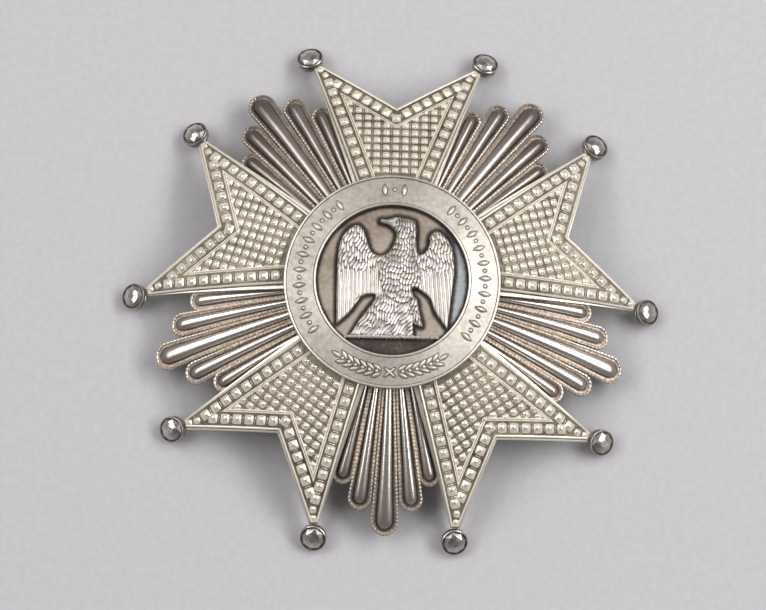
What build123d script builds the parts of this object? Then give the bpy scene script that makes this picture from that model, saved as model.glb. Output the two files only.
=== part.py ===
"""Breast star: five diamond-point arms and five fluted ray bundles on a shallow dome, round a medallion.

Millimetres. The origin is on the surface that the star lies on, under its middle. +Z is up through the
face, +Y points along arm_1. The star lies face up on its ten tip buttons, and the pin is in the hollow.
"""

from build123d import *
from math import asin, atan2, ceil, cos, degrees, hypot, radians, sin, sqrt, tan
import os

# Driving dimensions of the whole star
WIDTH_OVER_BUTTONS = 90.0
POINTS = 5
ARM_HALF_ANGLE = 20.2
DOME_RADIUS = 81.0
GAP = 0.05

# Tip buttons, measured along and across their own leaning axis
BUTTON_RADIUS = 2.25
COLLET_RADIUS = 2.12
COLLET_BOTTOM = -0.85
COLLET_TOP = -0.1
WAIST_RADIUS = 1.85
BEZEL_BOTTOM = 0.1
BEZEL_TOP = 0.55
FACET_FACES = 8
FACET_TIERS = [
    {"height": 0.55, "radius": 1.95},
    {"height": 0.95, "radius": 1.45},
    {"height": 1.2, "radius": 0.7},
]

# Arms
ARM_THICKNESS = 0.95
ARM_ROOT_RADIUS = 14.0
NOTCH_RADIUS = 30.7
RIM_WIDTH = 0.38
RIM_HEIGHT = 0.3
RIB_INSET = 2.5
RIB_WIDTH = 0.42
RIB_HEIGHT = 0.3
LEDGE_SPLAY = 1.8
LEDGE_AT_NOTCH = 0.3
LEDGE_DROP = 0.45
TIP_UNDER_SURFACE = 0.4
BORDER_STUD = {"length": 1.66, "width": 1.56, "height": 0.62}
TIP_STUD = {"length": 1.3, "width": 1.15, "height": 0.5}
FIELD_STUD = {"length": 1.16, "width": 1.44, "height": 0.46}
STUD_SINK = 0.3
BORDER_PITCH = 2.0
FIELD_PITCH_ACROSS = 1.58
FIELD_PITCH_ALONG = 1.38
STUDS_START = 18.3
TIP_STUDS_BACK = (2.8, 4.2)
FIELD_OVERLAP = 0.1

# Ray bundles
RAY_DOME_RADIUS = 103.0
RAY_CREST_BELOW_ARMS = 1.7
FLUTE_HEIGHT = 0.8
RAY_THICKNESS = 0.6
RAY_ROOT_RADIUS = 12.0
RAY_SKIRT_ANGLE = 16.6
RAY_SKIRT_RADIUS = 30.5
# One row for each strip of a bundle: its turn in plan, its reach, the radius of its end, half its flute's width
LOBES = [
    {"angle": -12.9, "reach": 33.5, "end_radius": 1.75, "flute": 0.88},
    {"angle": -6.9, "reach": 37.0, "end_radius": 1.95, "flute": 1.02},
    {"angle": 0.0, "reach": 40.7, "end_radius": 2.3, "flute": 1.32},
    {"angle": 6.9, "reach": 37.0, "end_radius": 1.95, "flute": 1.02},
    {"angle": 12.9, "reach": 33.5, "end_radius": 1.75, "flute": 0.88},
]
# One row for each section of a flute: how far along it lies, and its share of the full width and height
FLUTE_SECTIONS = [
    {"along": 0.0, "width": 0.4, "height": 0.5},
    {"along": 0.35, "width": 0.56, "height": 0.7},
    {"along": 0.7, "width": 0.77, "height": 0.88},
    {"along": 0.9, "width": 1.0, "height": 1.0},
    {"along": 0.97, "width": 0.75, "height": 0.85},
    {"along": 1.0, "width": 0.3, "height": 0.4},
]
FLUTE_START = 17.3
FLUTE_FACETS = 5
FLUTE_SINK = 0.3
FLUTE_END_INSET = 0.9

# Centre
DISC_RADIUS = 17.2
BAND_RADIUS = 17.85
BAND_INNER_RADIUS = 12.55
BAND_FOOT_WIDTH = 1.1
BAND_EDGE_LIFT = 0.4
BAND_EDGE_THICKNESS = 0.8
BAND_RISE = 1.25
BAND_RIM_WIDTH = 0.4
BAND_RIM_HEIGHT = 0.22
FIELD_RADIUS = 12.5
FIELD_BELOW_RIM = 1.0

# Eagle, measured from the star's middle on the field's flat face
WING_THICKNESS = 0.55
FEATHER_HEIGHT = 0.22
FEATHER_WIDTH = 0.5
LEFT_WING = [
    (-1.0, 3.0), (-3.0, 4.1), (-4.1, 5.2), (-4.5, 6.9), (-4.9, 8.0), (-6.2, 8.9), (-7.8, 7.9), (-8.8, 6.4),
    (-9.0, 4.1), (-9.0, -2.1), (-8.6, -7.6), (-6.6, -5.4), (-5.5, -3.7), (-4.4, -2.7), (-1.5, -2.4),
]
RIGHT_WING = [
    (3.0, 3.0), (4.5, 4.4), (5.5, 5.6), (5.6, 8.0), (6.7, 8.8), (8.4, 7.6), (9.7, 5.7), (10.0, 4.3),
    (10.1, 0.5), (9.7, -3.2), (9.4, -7.9), (8.2, -6.4), (6.8, -4.3), (6.0, -2.2), (3.0, -0.6),
]
# Long wing and tail feathers: where each begins and ends
FEATHERS = [
    {"from": (-8.5, 0.6), "to": (-8.3, -6.6)},
    {"from": (-7.4, 0.4), "to": (-7.4, -5.6)},
    {"from": (-6.3, 0.2), "to": (-6.4, -4.4)},
    {"from": (-5.2, 0.0), "to": (-5.4, -2.9)},
    {"from": (9.5, 0.4), "to": (9.2, -6.8)},
    {"from": (8.5, 0.6), "to": (8.4, -6.0)},
    {"from": (7.5, 0.8), "to": (7.5, -4.6)},
    {"from": (6.5, 1.0), "to": (6.6, -3.1)},
    {"from": (-3.6, -5.8), "to": (-5.4, -8.6)},
    {"from": (-2.0, -6.2), "to": (-3.2, -8.7)},
    {"from": (0.4, -5.6), "to": (-0.6, -8.7)},
    {"from": (2.4, -4.6), "to": (1.6, -8.7)},
]
TAIL = [(-2.0, -2.2), (-4.4, -5.7), (-5.7, -7.6), (-6.3, -9.5), (3.8, -9.4), (3.7, -6.6), (2.8, -1.6)]
BEAK = [(0.6, 9.9), (-1.6, 10.3), (-2.5, 10.0), (-2.0, 9.7), (-0.4, 9.2), (0.6, 8.4)]
# Rounded masses: middle, half sizes across, along and up, and turn in plan
MASSES = [
    {"name": "breast", "at": (0.9, 0.8), "half": (3.4, 4.3, 1.75), "turn": 0},
    {"name": "neck", "at": (1.9, 5.8), "half": (1.6, 3.4, 1.35), "turn": 4},
    {"name": "head", "at": (1.6, 9.2), "half": (1.9, 1.25, 1.15), "turn": 0},
    {"name": "left_thigh", "at": (-1.7, -4.3), "half": (1.5, 2.6, 1.15), "turn": -24},
    {"name": "right_thigh", "at": (4.1, -4.6), "half": (1.1, 3.0, 1.0), "turn": 17},
]
MASS_LEVELS = (0, 24, 48, 70)
MASS_SIDES = 12
BAR_FROM = (-7.3, -9.6)
BAR_TO = (7.6, -9.4)
BAR_WIDTH = 0.6
BAR_HEIGHT = 0.8

# Pin in the hollow, with its hinge block behind arm_1 and its catch behind the bundle opposite
PIN_RADIUS = 0.6
PIN_HINGE_Y = 24.0
PIN_CATCH_Y = -21.5
PIN_POINT = 2.6
PIN_CLEARANCE = 0.25
KNUCKLE_RADIUS = 1.1
HINGE_BLOCK = {"across": 5.0, "along": 3.0}
CATCH_BLOCK = {"across": 2.4, "along": 2.6}

SECTOR = 360.0 / POINTS
FAR = 60.0

lean_radius = (WIDTH_OVER_BUTTONS / 2 - BUTTON_RADIUS) / cos(radians(90 - SECTOR - ARM_HALF_ANGLE))
lean = degrees(asin(lean_radius / (DOME_RADIUS - TIP_UNDER_SURFACE)))
button_height = -COLLET_BOTTOM * cos(radians(lean)) + COLLET_RADIUS * sin(radians(lean))
dome_centre = button_height - sqrt((DOME_RADIUS - TIP_UNDER_SURFACE) ** 2 - lean_radius**2)


def dome_height(radius, offset=0.0):
    """Height of the arms' top surface at a radius, or of the surface that far above it."""
    return dome_centre + sqrt((DOME_RADIUS + offset) ** 2 - radius**2)


ray_centre = dome_height(BAND_RADIUS) - RAY_CREST_BELOW_ARMS - sqrt(RAY_DOME_RADIUS**2 - BAND_RADIUS**2)


def ray_height(radius, offset=0.0):
    """Height of the flutes' crests at a radius, or of the surface that far above them."""
    return ray_centre + sqrt((RAY_DOME_RADIUS + offset) ** 2 - radius**2)


def dome_plane(x, y, turn):
    """Plane that touches the arms' top surface over (x, y), its y direction turned in plan."""
    height = dome_height(hypot(x, y))
    normal = Vector(x, y, height - dome_centre)
    along = Vector(-sin(radians(turn)), cos(radians(turn)), 0)
    return Plane(origin=(x, y, height), x_dir=along.cross(normal), z_dir=normal)


def shell(sketch, radius, centre, thickness):
    """The sketch raised as a wall of even thickness under a sphere."""
    with BuildPart() as wall:
        add(sketch)
        extrude(amount=FAR)
        with Locations((0, 0, centre)):
            Sphere(radius, mode=Mode.INTERSECT)
            Sphere(radius - thickness, mode=Mode.SUBTRACT)
    return wall.part


def pyramid(length, width, height):
    """Diamond point whose four slopes run on a little way under the surface that carries it."""
    spread = (height + STUD_SINK) / height
    with BuildPart() as stud:
        with BuildSketch(Plane.XY.offset(-STUD_SINK)) as base:
            Rectangle(width * spread, length * spread)
        loft(sections=[base.sketch.face(), Vertex(0, 0, height)])
    return stud.part


# Plan of one arm, pointing along +Y, worked out from its angle, its tips and its notch
tip_x = lean_radius * sin(radians(ARM_HALF_ANGLE))
tip_y = lean_radius * cos(radians(ARM_HALF_ANGLE))
notch_slope = degrees(atan2(tip_y - NOTCH_RADIUS, tip_x))
tip_half_angle = (90 - ARM_HALF_ANGLE - notch_slope) / 2


def arm_plan(inset, root, on_ledge=False):
    """Corners of the arm's raised face moved in by an inset, or of the low ledge that runs round it."""
    half = radians(ARM_HALF_ANGLE - (LEDGE_SPLAY if on_ledge else 0))
    notch_inset = 0 if on_ledge else inset + LEDGE_AT_NOTCH
    notch_y = NOTCH_RADIUS - notch_inset / cos(radians(notch_slope))
    side_x = tip_x - inset * cos(half)
    side_y = tip_y + inset * sin(half)
    rise = tan(radians(notch_slope))
    to_corner = (notch_y + side_x * rise - side_y) / (cos(half) - sin(half) * rise)
    to_root = (root * cos(radians(ARM_HALF_ANGLE)) - side_y) / cos(half)
    corner = (side_x + to_corner * sin(half), side_y + to_corner * cos(half))
    foot = (side_x + to_root * sin(half), side_y + to_root * cos(half))
    return [(0, notch_y), corner, foot, (-foot[0], foot[1]), (-corner[0], corner[1])]


def arm_sketch(outer_inset, inner_inset=None, on_ledge=False):
    """Flat face between two insets of the arm's outline, or the whole of one."""
    with BuildSketch() as face:
        with BuildLine():
            Polyline(*arm_plan(outer_inset, ARM_ROOT_RADIUS, on_ledge), close=True)
        make_face()
        if inner_inset is not None:
            with BuildLine():
                Polyline(*arm_plan(inner_inset, ARM_ROOT_RADIUS - 1), close=True)
            make_face(mode=Mode.SUBTRACT)
        Circle(ARM_ROOT_RADIUS, mode=Mode.SUBTRACT)
    return face.sketch


border_inset = (RIM_WIDTH + RIB_INSET) / 2
border_notch_inset = border_inset + LEDGE_AT_NOTCH


def side_studs():
    """Places of the border's diamond points on the right-hand long side, and their turn in plan."""
    inset = border_inset
    side = radians(ARM_HALF_ANGLE)
    last = lean_radius - inset / tan(radians(tip_half_angle)) - BORDER_PITCH * 2 / 3
    for i in range(int((last - STUDS_START) / BORDER_PITCH) + 1):
        along = last - i * BORDER_PITCH
        yield along * sin(side) - inset * cos(side), along * cos(side) + inset * sin(side), -ARM_HALF_ANGLE


def notch_studs():
    """Places of the border's diamond points on the right-hand side of the notch."""
    slope = radians(notch_slope)
    start_y = NOTCH_RADIUS - border_notch_inset / cos(slope)
    run_out = border_notch_inset / tan(radians(tip_half_angle))
    last = hypot(tip_x, tip_y - NOTCH_RADIUS) - run_out
    for i in range(1, int(last / BORDER_PITCH) + 1):
        along = i * BORDER_PITCH
        yield along * cos(slope), start_y + along * sin(slope), notch_slope - 90


def tip_studs():
    """The single row that the two rows run into before the button."""
    middle = radians(ARM_HALF_ANGLE + tip_half_angle)
    for back in TIP_STUDS_BACK:
        yield tip_x - back * sin(middle), tip_y - back * cos(middle), -degrees(middle)


def field_studs():
    """Places of the small diamond points on the right-hand half, in rows across the arm inside the rib."""
    inset = RIB_INSET + RIB_WIDTH
    top_start = NOTCH_RADIUS - (inset + LEDGE_AT_NOTCH) / cos(radians(notch_slope))
    side_start = inset / cos(radians(ARM_HALF_ANGLE))
    half_across = FIELD_STUD["width"] * 0.5
    half_along = FIELD_STUD["length"] * 0.5
    for row in range(ceil((tip_y - STUDS_START) / FIELD_PITCH_ALONG)):
        y = STUDS_START + FIELD_PITCH_ALONG * (row + 0.5)
        for column in range(8):
            x = column * FIELD_PITCH_ACROSS
            side = (y - half_along) * tan(radians(ARM_HALF_ANGLE)) - side_start
            top = top_start + max(x - half_across, 0) * tan(radians(notch_slope))
            if x + half_across < side + FIELD_OVERLAP and y + half_along < top + FIELD_OVERLAP:
                yield x, y, 0.0


def both_sides(places):
    """The places on the right-hand half of an arm, and those mirrored to its left-hand half."""
    for x, y, turn in places:
        yield x, y, turn
        if x > GAP:
            yield -x, y, -turn


def stud_field(stud, places):
    """Copies of one diamond point standing on the dome."""
    return [dome_plane(x, y, turn).location * stud for x, y, turn in both_sides(places)]


def relief(outline, height):
    """Flat raised shape with a given outline, standing on the eagle's ground plane."""
    with BuildPart() as raised:
        with BuildSketch(eagle_ground):
            with BuildLine():
                Polyline(*outline, close=True)
            make_face()
        extrude(amount=height)
    return raised.part


def ridge(start, end, width, height):
    """Raised strip with round ends between two places, standing on the eagle's ground plane."""
    run = Vector(*end) - Vector(*start)
    middle = (Vector(*start) + Vector(*end)) / 2
    with BuildPart() as strip:
        with BuildSketch(eagle_ground):
            with Locations(Location((middle.X, middle.Y), degrees(atan2(run.Y, run.X)))):
                SlotCenterToCenter(run.length, width)
        extrude(amount=height)
    return strip.part


def mass(row):
    """Rounded mass of the eagle's relief, lofted with facets through rings that shrink towards its top."""
    half_across, half_along, height = row["half"]
    with BuildPart() as lump:
        for level in MASS_LEVELS:
            shrink = cos(radians(level))
            ring = [radians(360 * i / MASS_SIDES) for i in range(MASS_SIDES)]
            corners = [(half_across * shrink * cos(t), half_along * shrink * sin(t)) for t in ring]
            with BuildSketch(Plane.XY.offset(height * sin(radians(level)))):
                Polygon(*corners, align=None)
        loft(ruled=True)
    return Location((*row["at"], eagle_ground.origin.Z), (0, 0, row["turn"])) * lump.part


def button_plane(x, y):
    """Plane across a button's middle, leaning outward with the dome."""
    normal = Vector(x, y, button_height - dome_centre)
    return Plane(origin=(x, y, button_height), x_dir=(-y, x, 0), z_dir=normal)


# One arm, pointing along +Y
border_stud = pyramid(**BORDER_STUD)
tip_stud = pyramid(**TIP_STUD)
field_stud = pyramid(**FIELD_STUD)
notch_stud_place = (0.0, NOTCH_RADIUS - border_notch_inset / cos(radians(notch_slope)), 0.0)
border_places = [notch_stud_place, *side_studs(), *notch_studs()]
rim_sketch = arm_sketch(0.0, RIM_WIDTH)
rib_sketch = arm_sketch(RIB_INSET, RIB_INSET + RIB_WIDTH)
ledge_sketch = arm_sketch(0.0, on_ledge=True)

with BuildPart() as arm:
    add(shell(arm_sketch(0.0), DOME_RADIUS, dome_centre, ARM_THICKNESS))
    add(shell(ledge_sketch, DOME_RADIUS - LEDGE_DROP, dome_centre, ARM_THICKNESS - LEDGE_DROP))
    add(shell(rim_sketch, DOME_RADIUS + RIM_HEIGHT, dome_centre, 2 * RIM_HEIGHT))
    add(shell(rib_sketch, DOME_RADIUS + RIB_HEIGHT, dome_centre, 2 * RIB_HEIGHT))
    add(stud_field(border_stud, border_places))
    add(stud_field(tip_stud, tip_studs()))
    add(stud_field(field_stud, field_studs()))
    with Locations(button_plane(tip_x, tip_y), button_plane(-tip_x, tip_y)):
        Cylinder(BUTTON_RADIUS + GAP, FAR / 10, mode=Mode.SUBTRACT)


def ray_sketch():
    """Plan of one bundle along +Y: five tapered strips with round ends, and a skirt under the arms."""
    skirt_x = RAY_SKIRT_RADIUS * sin(radians(RAY_SKIRT_ANGLE))
    skirt_y = RAY_SKIRT_RADIUS * cos(radians(RAY_SKIRT_ANGLE))
    with BuildSketch() as face:
        for lobe in LOBES:
            end = lobe["reach"] - lobe["end_radius"]
            with BuildSketch(mode=Mode.PRIVATE) as strip:
                Polygon((0, 0), (lobe["end_radius"], end), (-lobe["end_radius"], end), align=None)
                with Locations((0, end)):
                    Circle(lobe["end_radius"])
            add(Rotation(0, 0, lobe["angle"]) * strip.sketch)
        Polygon((0, 0), (skirt_x, skirt_y), (-skirt_x, skirt_y), align=None)
        Circle(RAY_ROOT_RADIUS, mode=Mode.SUBTRACT)
    return face.sketch


def flute_outline(half_width, height):
    """Corners of a flute's cross-section: a faceted half ellipse over a straight foot."""
    crown = [radians(180 * i / FLUTE_FACETS) for i in range(FLUTE_FACETS + 1)]
    points = [(half_width * cos(angle), height * sin(angle)) for angle in crown]
    return points + [(-half_width, -FLUTE_SINK), (half_width, -FLUTE_SINK)]


def flute(lobe):
    """Rounded flute that widens outward and ends round, lofted along the dome through a few sections."""
    reach = lobe["reach"] - FLUTE_END_INSET
    with BuildPart() as body:
        for row in FLUTE_SECTIONS:
            radius = FLUTE_START + (reach - FLUTE_START) * row["along"]
            slope = Vector(0, radius, ray_height(radius) - ray_centre).normalized()
            foot = Vector(0, radius, ray_height(radius)) - slope * FLUTE_HEIGHT
            half_width = lobe["flute"] * row["width"]
            with BuildSketch(Plane(origin=foot, x_dir=(1, 0, 0), z_dir=slope.cross(Vector(1, 0, 0)))):
                Polygon(*flute_outline(half_width, FLUTE_HEIGHT * row["height"]), align=None)
        loft(ruled=True)
    return Rotation(0, 0, lobe["angle"]) * body.part


# One ray bundle, pointing along +Y
ray_floor = RAY_DOME_RADIUS - FLUTE_HEIGHT
with BuildPart() as bundle:
    add(shell(ray_sketch(), ray_floor, ray_centre, RAY_THICKNESS))
    add([flute(lobe) for lobe in LOBES])


# One tip button, upright, its middle at the origin
with BuildPart() as button:
    with BuildSketch(Plane.XZ):
        with BuildLine():
            Polyline(
                (0, COLLET_BOTTOM),
                (COLLET_RADIUS, COLLET_BOTTOM),
                (COLLET_RADIUS, COLLET_TOP),
                (WAIST_RADIUS, COLLET_TOP),
                (WAIST_RADIUS, BEZEL_BOTTOM),
                (BUTTON_RADIUS, BEZEL_BOTTOM),
                (BUTTON_RADIUS, BEZEL_TOP),
                (0, BEZEL_TOP),
                close=True,
            )
        make_face()
    revolve(axis=Axis.Z)
    for tier in FACET_TIERS:
        with BuildSketch(Plane.XY.offset(tier["height"])):
            RegularPolygon(tier["radius"], FACET_FACES)
    loft(ruled=True)

# Centre, from the back disc up to the eagle
ray_underside = ray_floor - RAY_THICKNESS
with BuildPart() as back_disc:
    Cylinder(DISC_RADIUS, FAR, align=(Align.CENTER, Align.CENTER, Align.MIN))
    with Locations((0, 0, dome_centre)):
        Sphere(DOME_RADIUS - ARM_THICKNESS - GAP, mode=Mode.INTERSECT)
    with Locations((0, 0, ray_centre)):
        Sphere(ray_floor + GAP, mode=Mode.SUBTRACT)

band_edge_bottom = dome_height(BAND_RADIUS) + BAND_EDGE_LIFT
band_edge_top = band_edge_bottom + BAND_EDGE_THICKNESS
band_top = band_edge_top + BAND_RISE
band_foot = dome_height(BAND_INNER_RADIUS, -ARM_THICKNESS)
with BuildPart() as band:
    with BuildSketch(Plane.XZ):
        with BuildLine():
            Polyline(
                (BAND_INNER_RADIUS, band_foot),
                (BAND_INNER_RADIUS + BAND_FOOT_WIDTH, band_foot),
                (BAND_INNER_RADIUS + BAND_FOOT_WIDTH, band_top - BAND_EDGE_THICKNESS),
                (BAND_RADIUS, band_edge_bottom),
                (BAND_RADIUS, band_edge_top + BAND_RIM_HEIGHT),
                (BAND_RADIUS - BAND_RIM_WIDTH, band_edge_top + BAND_RIM_HEIGHT),
                (BAND_RADIUS - BAND_RIM_WIDTH, band_edge_top),
                (BAND_INNER_RADIUS + BAND_RIM_WIDTH, band_top),
                (BAND_INNER_RADIUS + BAND_RIM_WIDTH, band_top + BAND_RIM_HEIGHT),
                (BAND_INNER_RADIUS, band_top + BAND_RIM_HEIGHT),
                close=True,
            )
        make_face()
    revolve(axis=Axis.Z)

field_top = band_top + BAND_RIM_HEIGHT - FIELD_BELOW_RIM
with BuildPart() as field:
    Cylinder(FIELD_RADIUS, field_top, align=(Align.CENTER, Align.CENTER, Align.MIN))
    with Locations((0, 0, dome_centre)):
        Sphere(DOME_RADIUS - ARM_THICKNESS, mode=Mode.SUBTRACT)

eagle_ground = Plane.XY.offset(field_top + GAP)
with BuildPart() as eagle:
    add([relief(outline, WING_THICKNESS) for outline in (LEFT_WING, RIGHT_WING, TAIL, BEAK)])
    add([ridge(row["from"], row["to"], FEATHER_WIDTH, WING_THICKNESS + FEATHER_HEIGHT) for row in FEATHERS])
    add([mass(row) for row in MASSES])
    add(ridge(BAR_FROM, BAR_TO, BAR_WIDTH, BAR_HEIGHT))

# Brooch pin, one plain piece
pin_end_y = PIN_CATCH_Y - CATCH_BLOCK["along"] / 2
pin_height = ray_height(pin_end_y, ray_underside - RAY_DOME_RADIUS) - PIN_CLEARANCE - PIN_RADIUS
with BuildPart() as hinge_block:
    with BuildSketch(Plane(origin=(0, PIN_HINGE_Y, pin_height))):
        Rectangle(HINGE_BLOCK["across"], HINGE_BLOCK["along"])
    extrude(amount=FAR / 10)
    with Locations((0, 0, dome_centre)):
        Sphere(DOME_RADIUS - ARM_THICKNESS - GAP, mode=Mode.INTERSECT)
with BuildPart() as catch_block:
    with BuildSketch(Plane(origin=(0, PIN_CATCH_Y, pin_height - 2 * PIN_RADIUS))):
        Rectangle(CATCH_BLOCK["across"], CATCH_BLOCK["along"])
    extrude(amount=FAR / 10)
    with Locations((0, 0, ray_centre)):
        Sphere(ray_underside - GAP, mode=Mode.INTERSECT)
with BuildPart() as pin:
    with BuildSketch(Plane(origin=(0, PIN_HINGE_Y, pin_height), x_dir=(1, 0, 0), z_dir=(0, -1, 0))):
        Circle(PIN_RADIUS)
    extrude(amount=PIN_HINGE_Y - pin_end_y)
    knuckle_end = (HINGE_BLOCK["across"] / 2, PIN_HINGE_Y, pin_height)
    with BuildSketch(Plane(origin=knuckle_end, x_dir=(0, 1, 0), z_dir=(-1, 0, 0))):
        Circle(KNUCKLE_RADIUS)
    extrude(amount=HINGE_BLOCK["across"])
    add(hinge_block.part)
    add(catch_block.part)
    with Locations(Plane(origin=(0, pin_end_y, pin_height), x_dir=(1, 0, 0), z_dir=(0, -1, 0))):
        Cone(PIN_RADIUS, PIN_RADIUS / 4, PIN_POINT, align=(Align.CENTER, Align.CENTER, Align.MIN))

# Copies round the star, labels and files
os.makedirs("parts", exist_ok=True)


def save(piece, name):
    """Label one finished piece and write its file."""
    piece.label = name
    export_step(piece, f"parts/{name}.step")


for number in range(POINTS):
    turn = Rotation(0, 0, SECTOR * number)
    save(turn * arm.part, f"arm_{number + 1}")
    save(Rotation(0, 0, SECTOR * (number + 0.5)) * bundle.part, f"ray_bundle_{number + 1}")
    for side, sign in enumerate((1, -1)):
        placed = turn * button_plane(sign * tip_x, tip_y).location * button.part
        save(placed, f"tip_button_{2 * number + side + 1:02d}")
save(back_disc.part, "back_disc")
save(band.part, "medallion_band")
save(field.part, "medallion_field")
save(eagle.part, "eagle")
save(pin.part, "brooch_pin")
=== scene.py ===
"""Looks of the breast star: fine metal in place of its plain solids, with floor, light and camera.

Sizes are in millimetres until a mesh is made. The star lies face up on its ten buttons, arm_1 along +Y.
"""

import bmesh
import bpy
import numpy as np
from math import asin, atan2, cos, hypot, pi, radians, sin, sqrt, tan
from mathutils import Matrix, Vector, noise
from mathutils.geometry import delaunay_2d_cdt


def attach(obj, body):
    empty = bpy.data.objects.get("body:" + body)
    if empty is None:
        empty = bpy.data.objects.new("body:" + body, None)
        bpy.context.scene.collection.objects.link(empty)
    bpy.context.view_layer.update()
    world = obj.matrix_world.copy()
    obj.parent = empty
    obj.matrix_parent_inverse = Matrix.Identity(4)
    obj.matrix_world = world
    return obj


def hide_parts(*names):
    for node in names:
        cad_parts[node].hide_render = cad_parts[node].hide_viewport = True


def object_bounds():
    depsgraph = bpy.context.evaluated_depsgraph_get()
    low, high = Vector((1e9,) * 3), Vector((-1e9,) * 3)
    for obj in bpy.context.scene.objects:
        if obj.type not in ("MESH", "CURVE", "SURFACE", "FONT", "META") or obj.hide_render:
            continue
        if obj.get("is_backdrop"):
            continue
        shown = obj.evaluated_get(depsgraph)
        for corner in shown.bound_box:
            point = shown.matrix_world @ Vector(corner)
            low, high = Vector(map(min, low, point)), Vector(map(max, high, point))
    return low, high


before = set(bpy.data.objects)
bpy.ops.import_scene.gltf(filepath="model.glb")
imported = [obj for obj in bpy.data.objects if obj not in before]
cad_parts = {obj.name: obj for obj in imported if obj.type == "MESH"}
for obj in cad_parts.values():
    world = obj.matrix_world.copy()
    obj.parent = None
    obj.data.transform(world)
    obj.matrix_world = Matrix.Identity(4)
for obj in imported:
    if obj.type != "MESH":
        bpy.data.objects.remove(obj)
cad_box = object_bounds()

MM = 0.001

# Sizes that the pieces share with the solids
WIDTH_OVER_BUTTONS = 90.0
POINTS = 5
ARM_TO_ARM = 360 / POINTS
ARM_HALF_ANGLE = 20.2
DOME_RADIUS = 81.0
GAP = 0.05
BUTTON_RADIUS = 2.25
COLLET_RADIUS = 2.12
COLLET_BOTTOM = -0.85
ARM_THICKNESS = 0.95
ARM_ROOT_RADIUS = 14.0
NOTCH_RADIUS = 30.7
TIP_UNDER_SURFACE = 0.4
RIM_WIDTH = 0.38
RIB_INSET = 2.5
LEDGE_SPLAY = 1.8
LEDGE_AT_NOTCH = 0.3
BORDER_PITCH = 2.0
FIELD_PITCH_ACROSS = 1.58
FIELD_PITCH_ALONG = 1.38
STUDS_START = 18.3
TIP_STUDS_BACK = (2.8, 4.2)
STUD_SINK = 0.3
RAY_DOME_RADIUS = 103.0
RAY_CREST_BELOW_ARMS = 1.7
FLUTE_HEIGHT = 0.8
RAY_THICKNESS = 0.6
RAY_ROOT_RADIUS = 12.0
RAY_SKIRT_ANGLE = 16.6
RAY_SKIRT_RADIUS = 30.5
LOBES = [
    {"angle": -12.9, "reach": 33.5, "end_radius": 1.75, "flute": 0.88},
    {"angle": -6.9, "reach": 37.0, "end_radius": 1.95, "flute": 1.02},
    {"angle": 0.0, "reach": 40.7, "end_radius": 2.3, "flute": 1.32},
    {"angle": 6.9, "reach": 37.0, "end_radius": 1.95, "flute": 1.02},
    {"angle": 12.9, "reach": 33.5, "end_radius": 1.75, "flute": 0.88},
]
BAND_RADIUS = 17.85
BAND_INNER_RADIUS = 12.55
BAND_FOOT_WIDTH = 1.1
BAND_EDGE_LIFT = 0.4
BAND_EDGE_THICKNESS = 0.8
BAND_RISE = 1.25
BAND_RIM_WIDTH = 0.4
BAND_RIM_HEIGHT = 0.22
FIELD_RADIUS = 12.5
FIELD_BELOW_RIM = 1.0

lean_radius = (WIDTH_OVER_BUTTONS / 2 - BUTTON_RADIUS) / cos(radians(90 - ARM_TO_ARM - ARM_HALF_ANGLE))
lean = asin(lean_radius / (DOME_RADIUS - TIP_UNDER_SURFACE))
button_height = -COLLET_BOTTOM * cos(lean) + COLLET_RADIUS * sin(lean)
dome_centre = button_height - sqrt((DOME_RADIUS - TIP_UNDER_SURFACE) ** 2 - lean_radius**2)


def dome_height(radius, offset=0.0):
    """Height of the arms' top surface at a radius, or of the surface that far above it."""
    return dome_centre + np.sqrt((DOME_RADIUS + offset) ** 2 - np.square(radius))


ray_centre = dome_height(BAND_RADIUS) - RAY_CREST_BELOW_ARMS - sqrt(RAY_DOME_RADIUS**2 - BAND_RADIUS**2)


def ray_height(radius, offset=0.0):
    """Height of the flutes' crests at a radius, or of the surface that far above them."""
    return ray_centre + np.sqrt((RAY_DOME_RADIUS + offset) ** 2 - np.square(radius))


def at_least(least, share):
    """A share from 0 to 1, brought to the range from a least value to 1."""
    return least + (1 - least) * share


def spun(x, y, angle):
    """Flat coordinates turned anticlockwise by degrees, as seen from above."""
    turn = radians(angle)
    return x * cos(turn) - y * sin(turn), x * sin(turn) + y * cos(turn)


# Closed shells of mesh

class Shells:
    """Closed shells of one piece. Each point has a wear and shade, from 0 in a recess or painted shade to 1
    on a height, and a grit.
    """

    def __init__(self):
        self.points = []
        self.wear_and_shade = []
        self.grit = []
        self.quads = []
        self.triangles = []
        self.count = 0

    def add(self, points, wear_and_shade, quads=(), triangles=(), grit=0.0):
        points = np.asarray(points, float).reshape(-1, 3)
        if len(quads):
            self.quads.append(np.asarray(quads) + self.count)
        if len(triangles):
            self.triangles.append(np.asarray(triangles) + self.count)
        self.points.append(points)
        self.wear_and_shade.append(np.broadcast_to(wear_and_shade, len(points)))
        self.grit.append(np.broadcast_to(grit, len(points)))
        self.count += len(points)

    def turned(self, degrees_about_z, tarnish_and_shade=0.0):
        """The same shells turned about the star's axis, and darkened by a share of their wear, for tarnish
        and painted shade.
        """
        angle = radians(degrees_about_z)
        spin = [[cos(angle), -sin(angle), 0], [sin(angle), cos(angle), 0], [0, 0, 1]]
        return self.moved(spin, tarnish_and_shade=tarnish_and_shade)

    def moved(self, axes, shift=(0, 0, 0), tarnish_and_shade=0.0):
        """The same shells brought to new axes, whose columns these are, and to a new place."""
        copy = Shells()
        copy.points = [points @ np.transpose(axes) + shift for points in self.points]
        copy.wear_and_shade = [(1 - tarnish_and_shade) * wear_and_shade for wear_and_shade in self.wear_and_shade]
        copy.grit = [(1 - tarnish_and_shade) * grit for grit in self.grit]
        copy.quads = self.quads
        copy.triangles = self.triangles
        copy.count = self.count
        return copy


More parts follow.
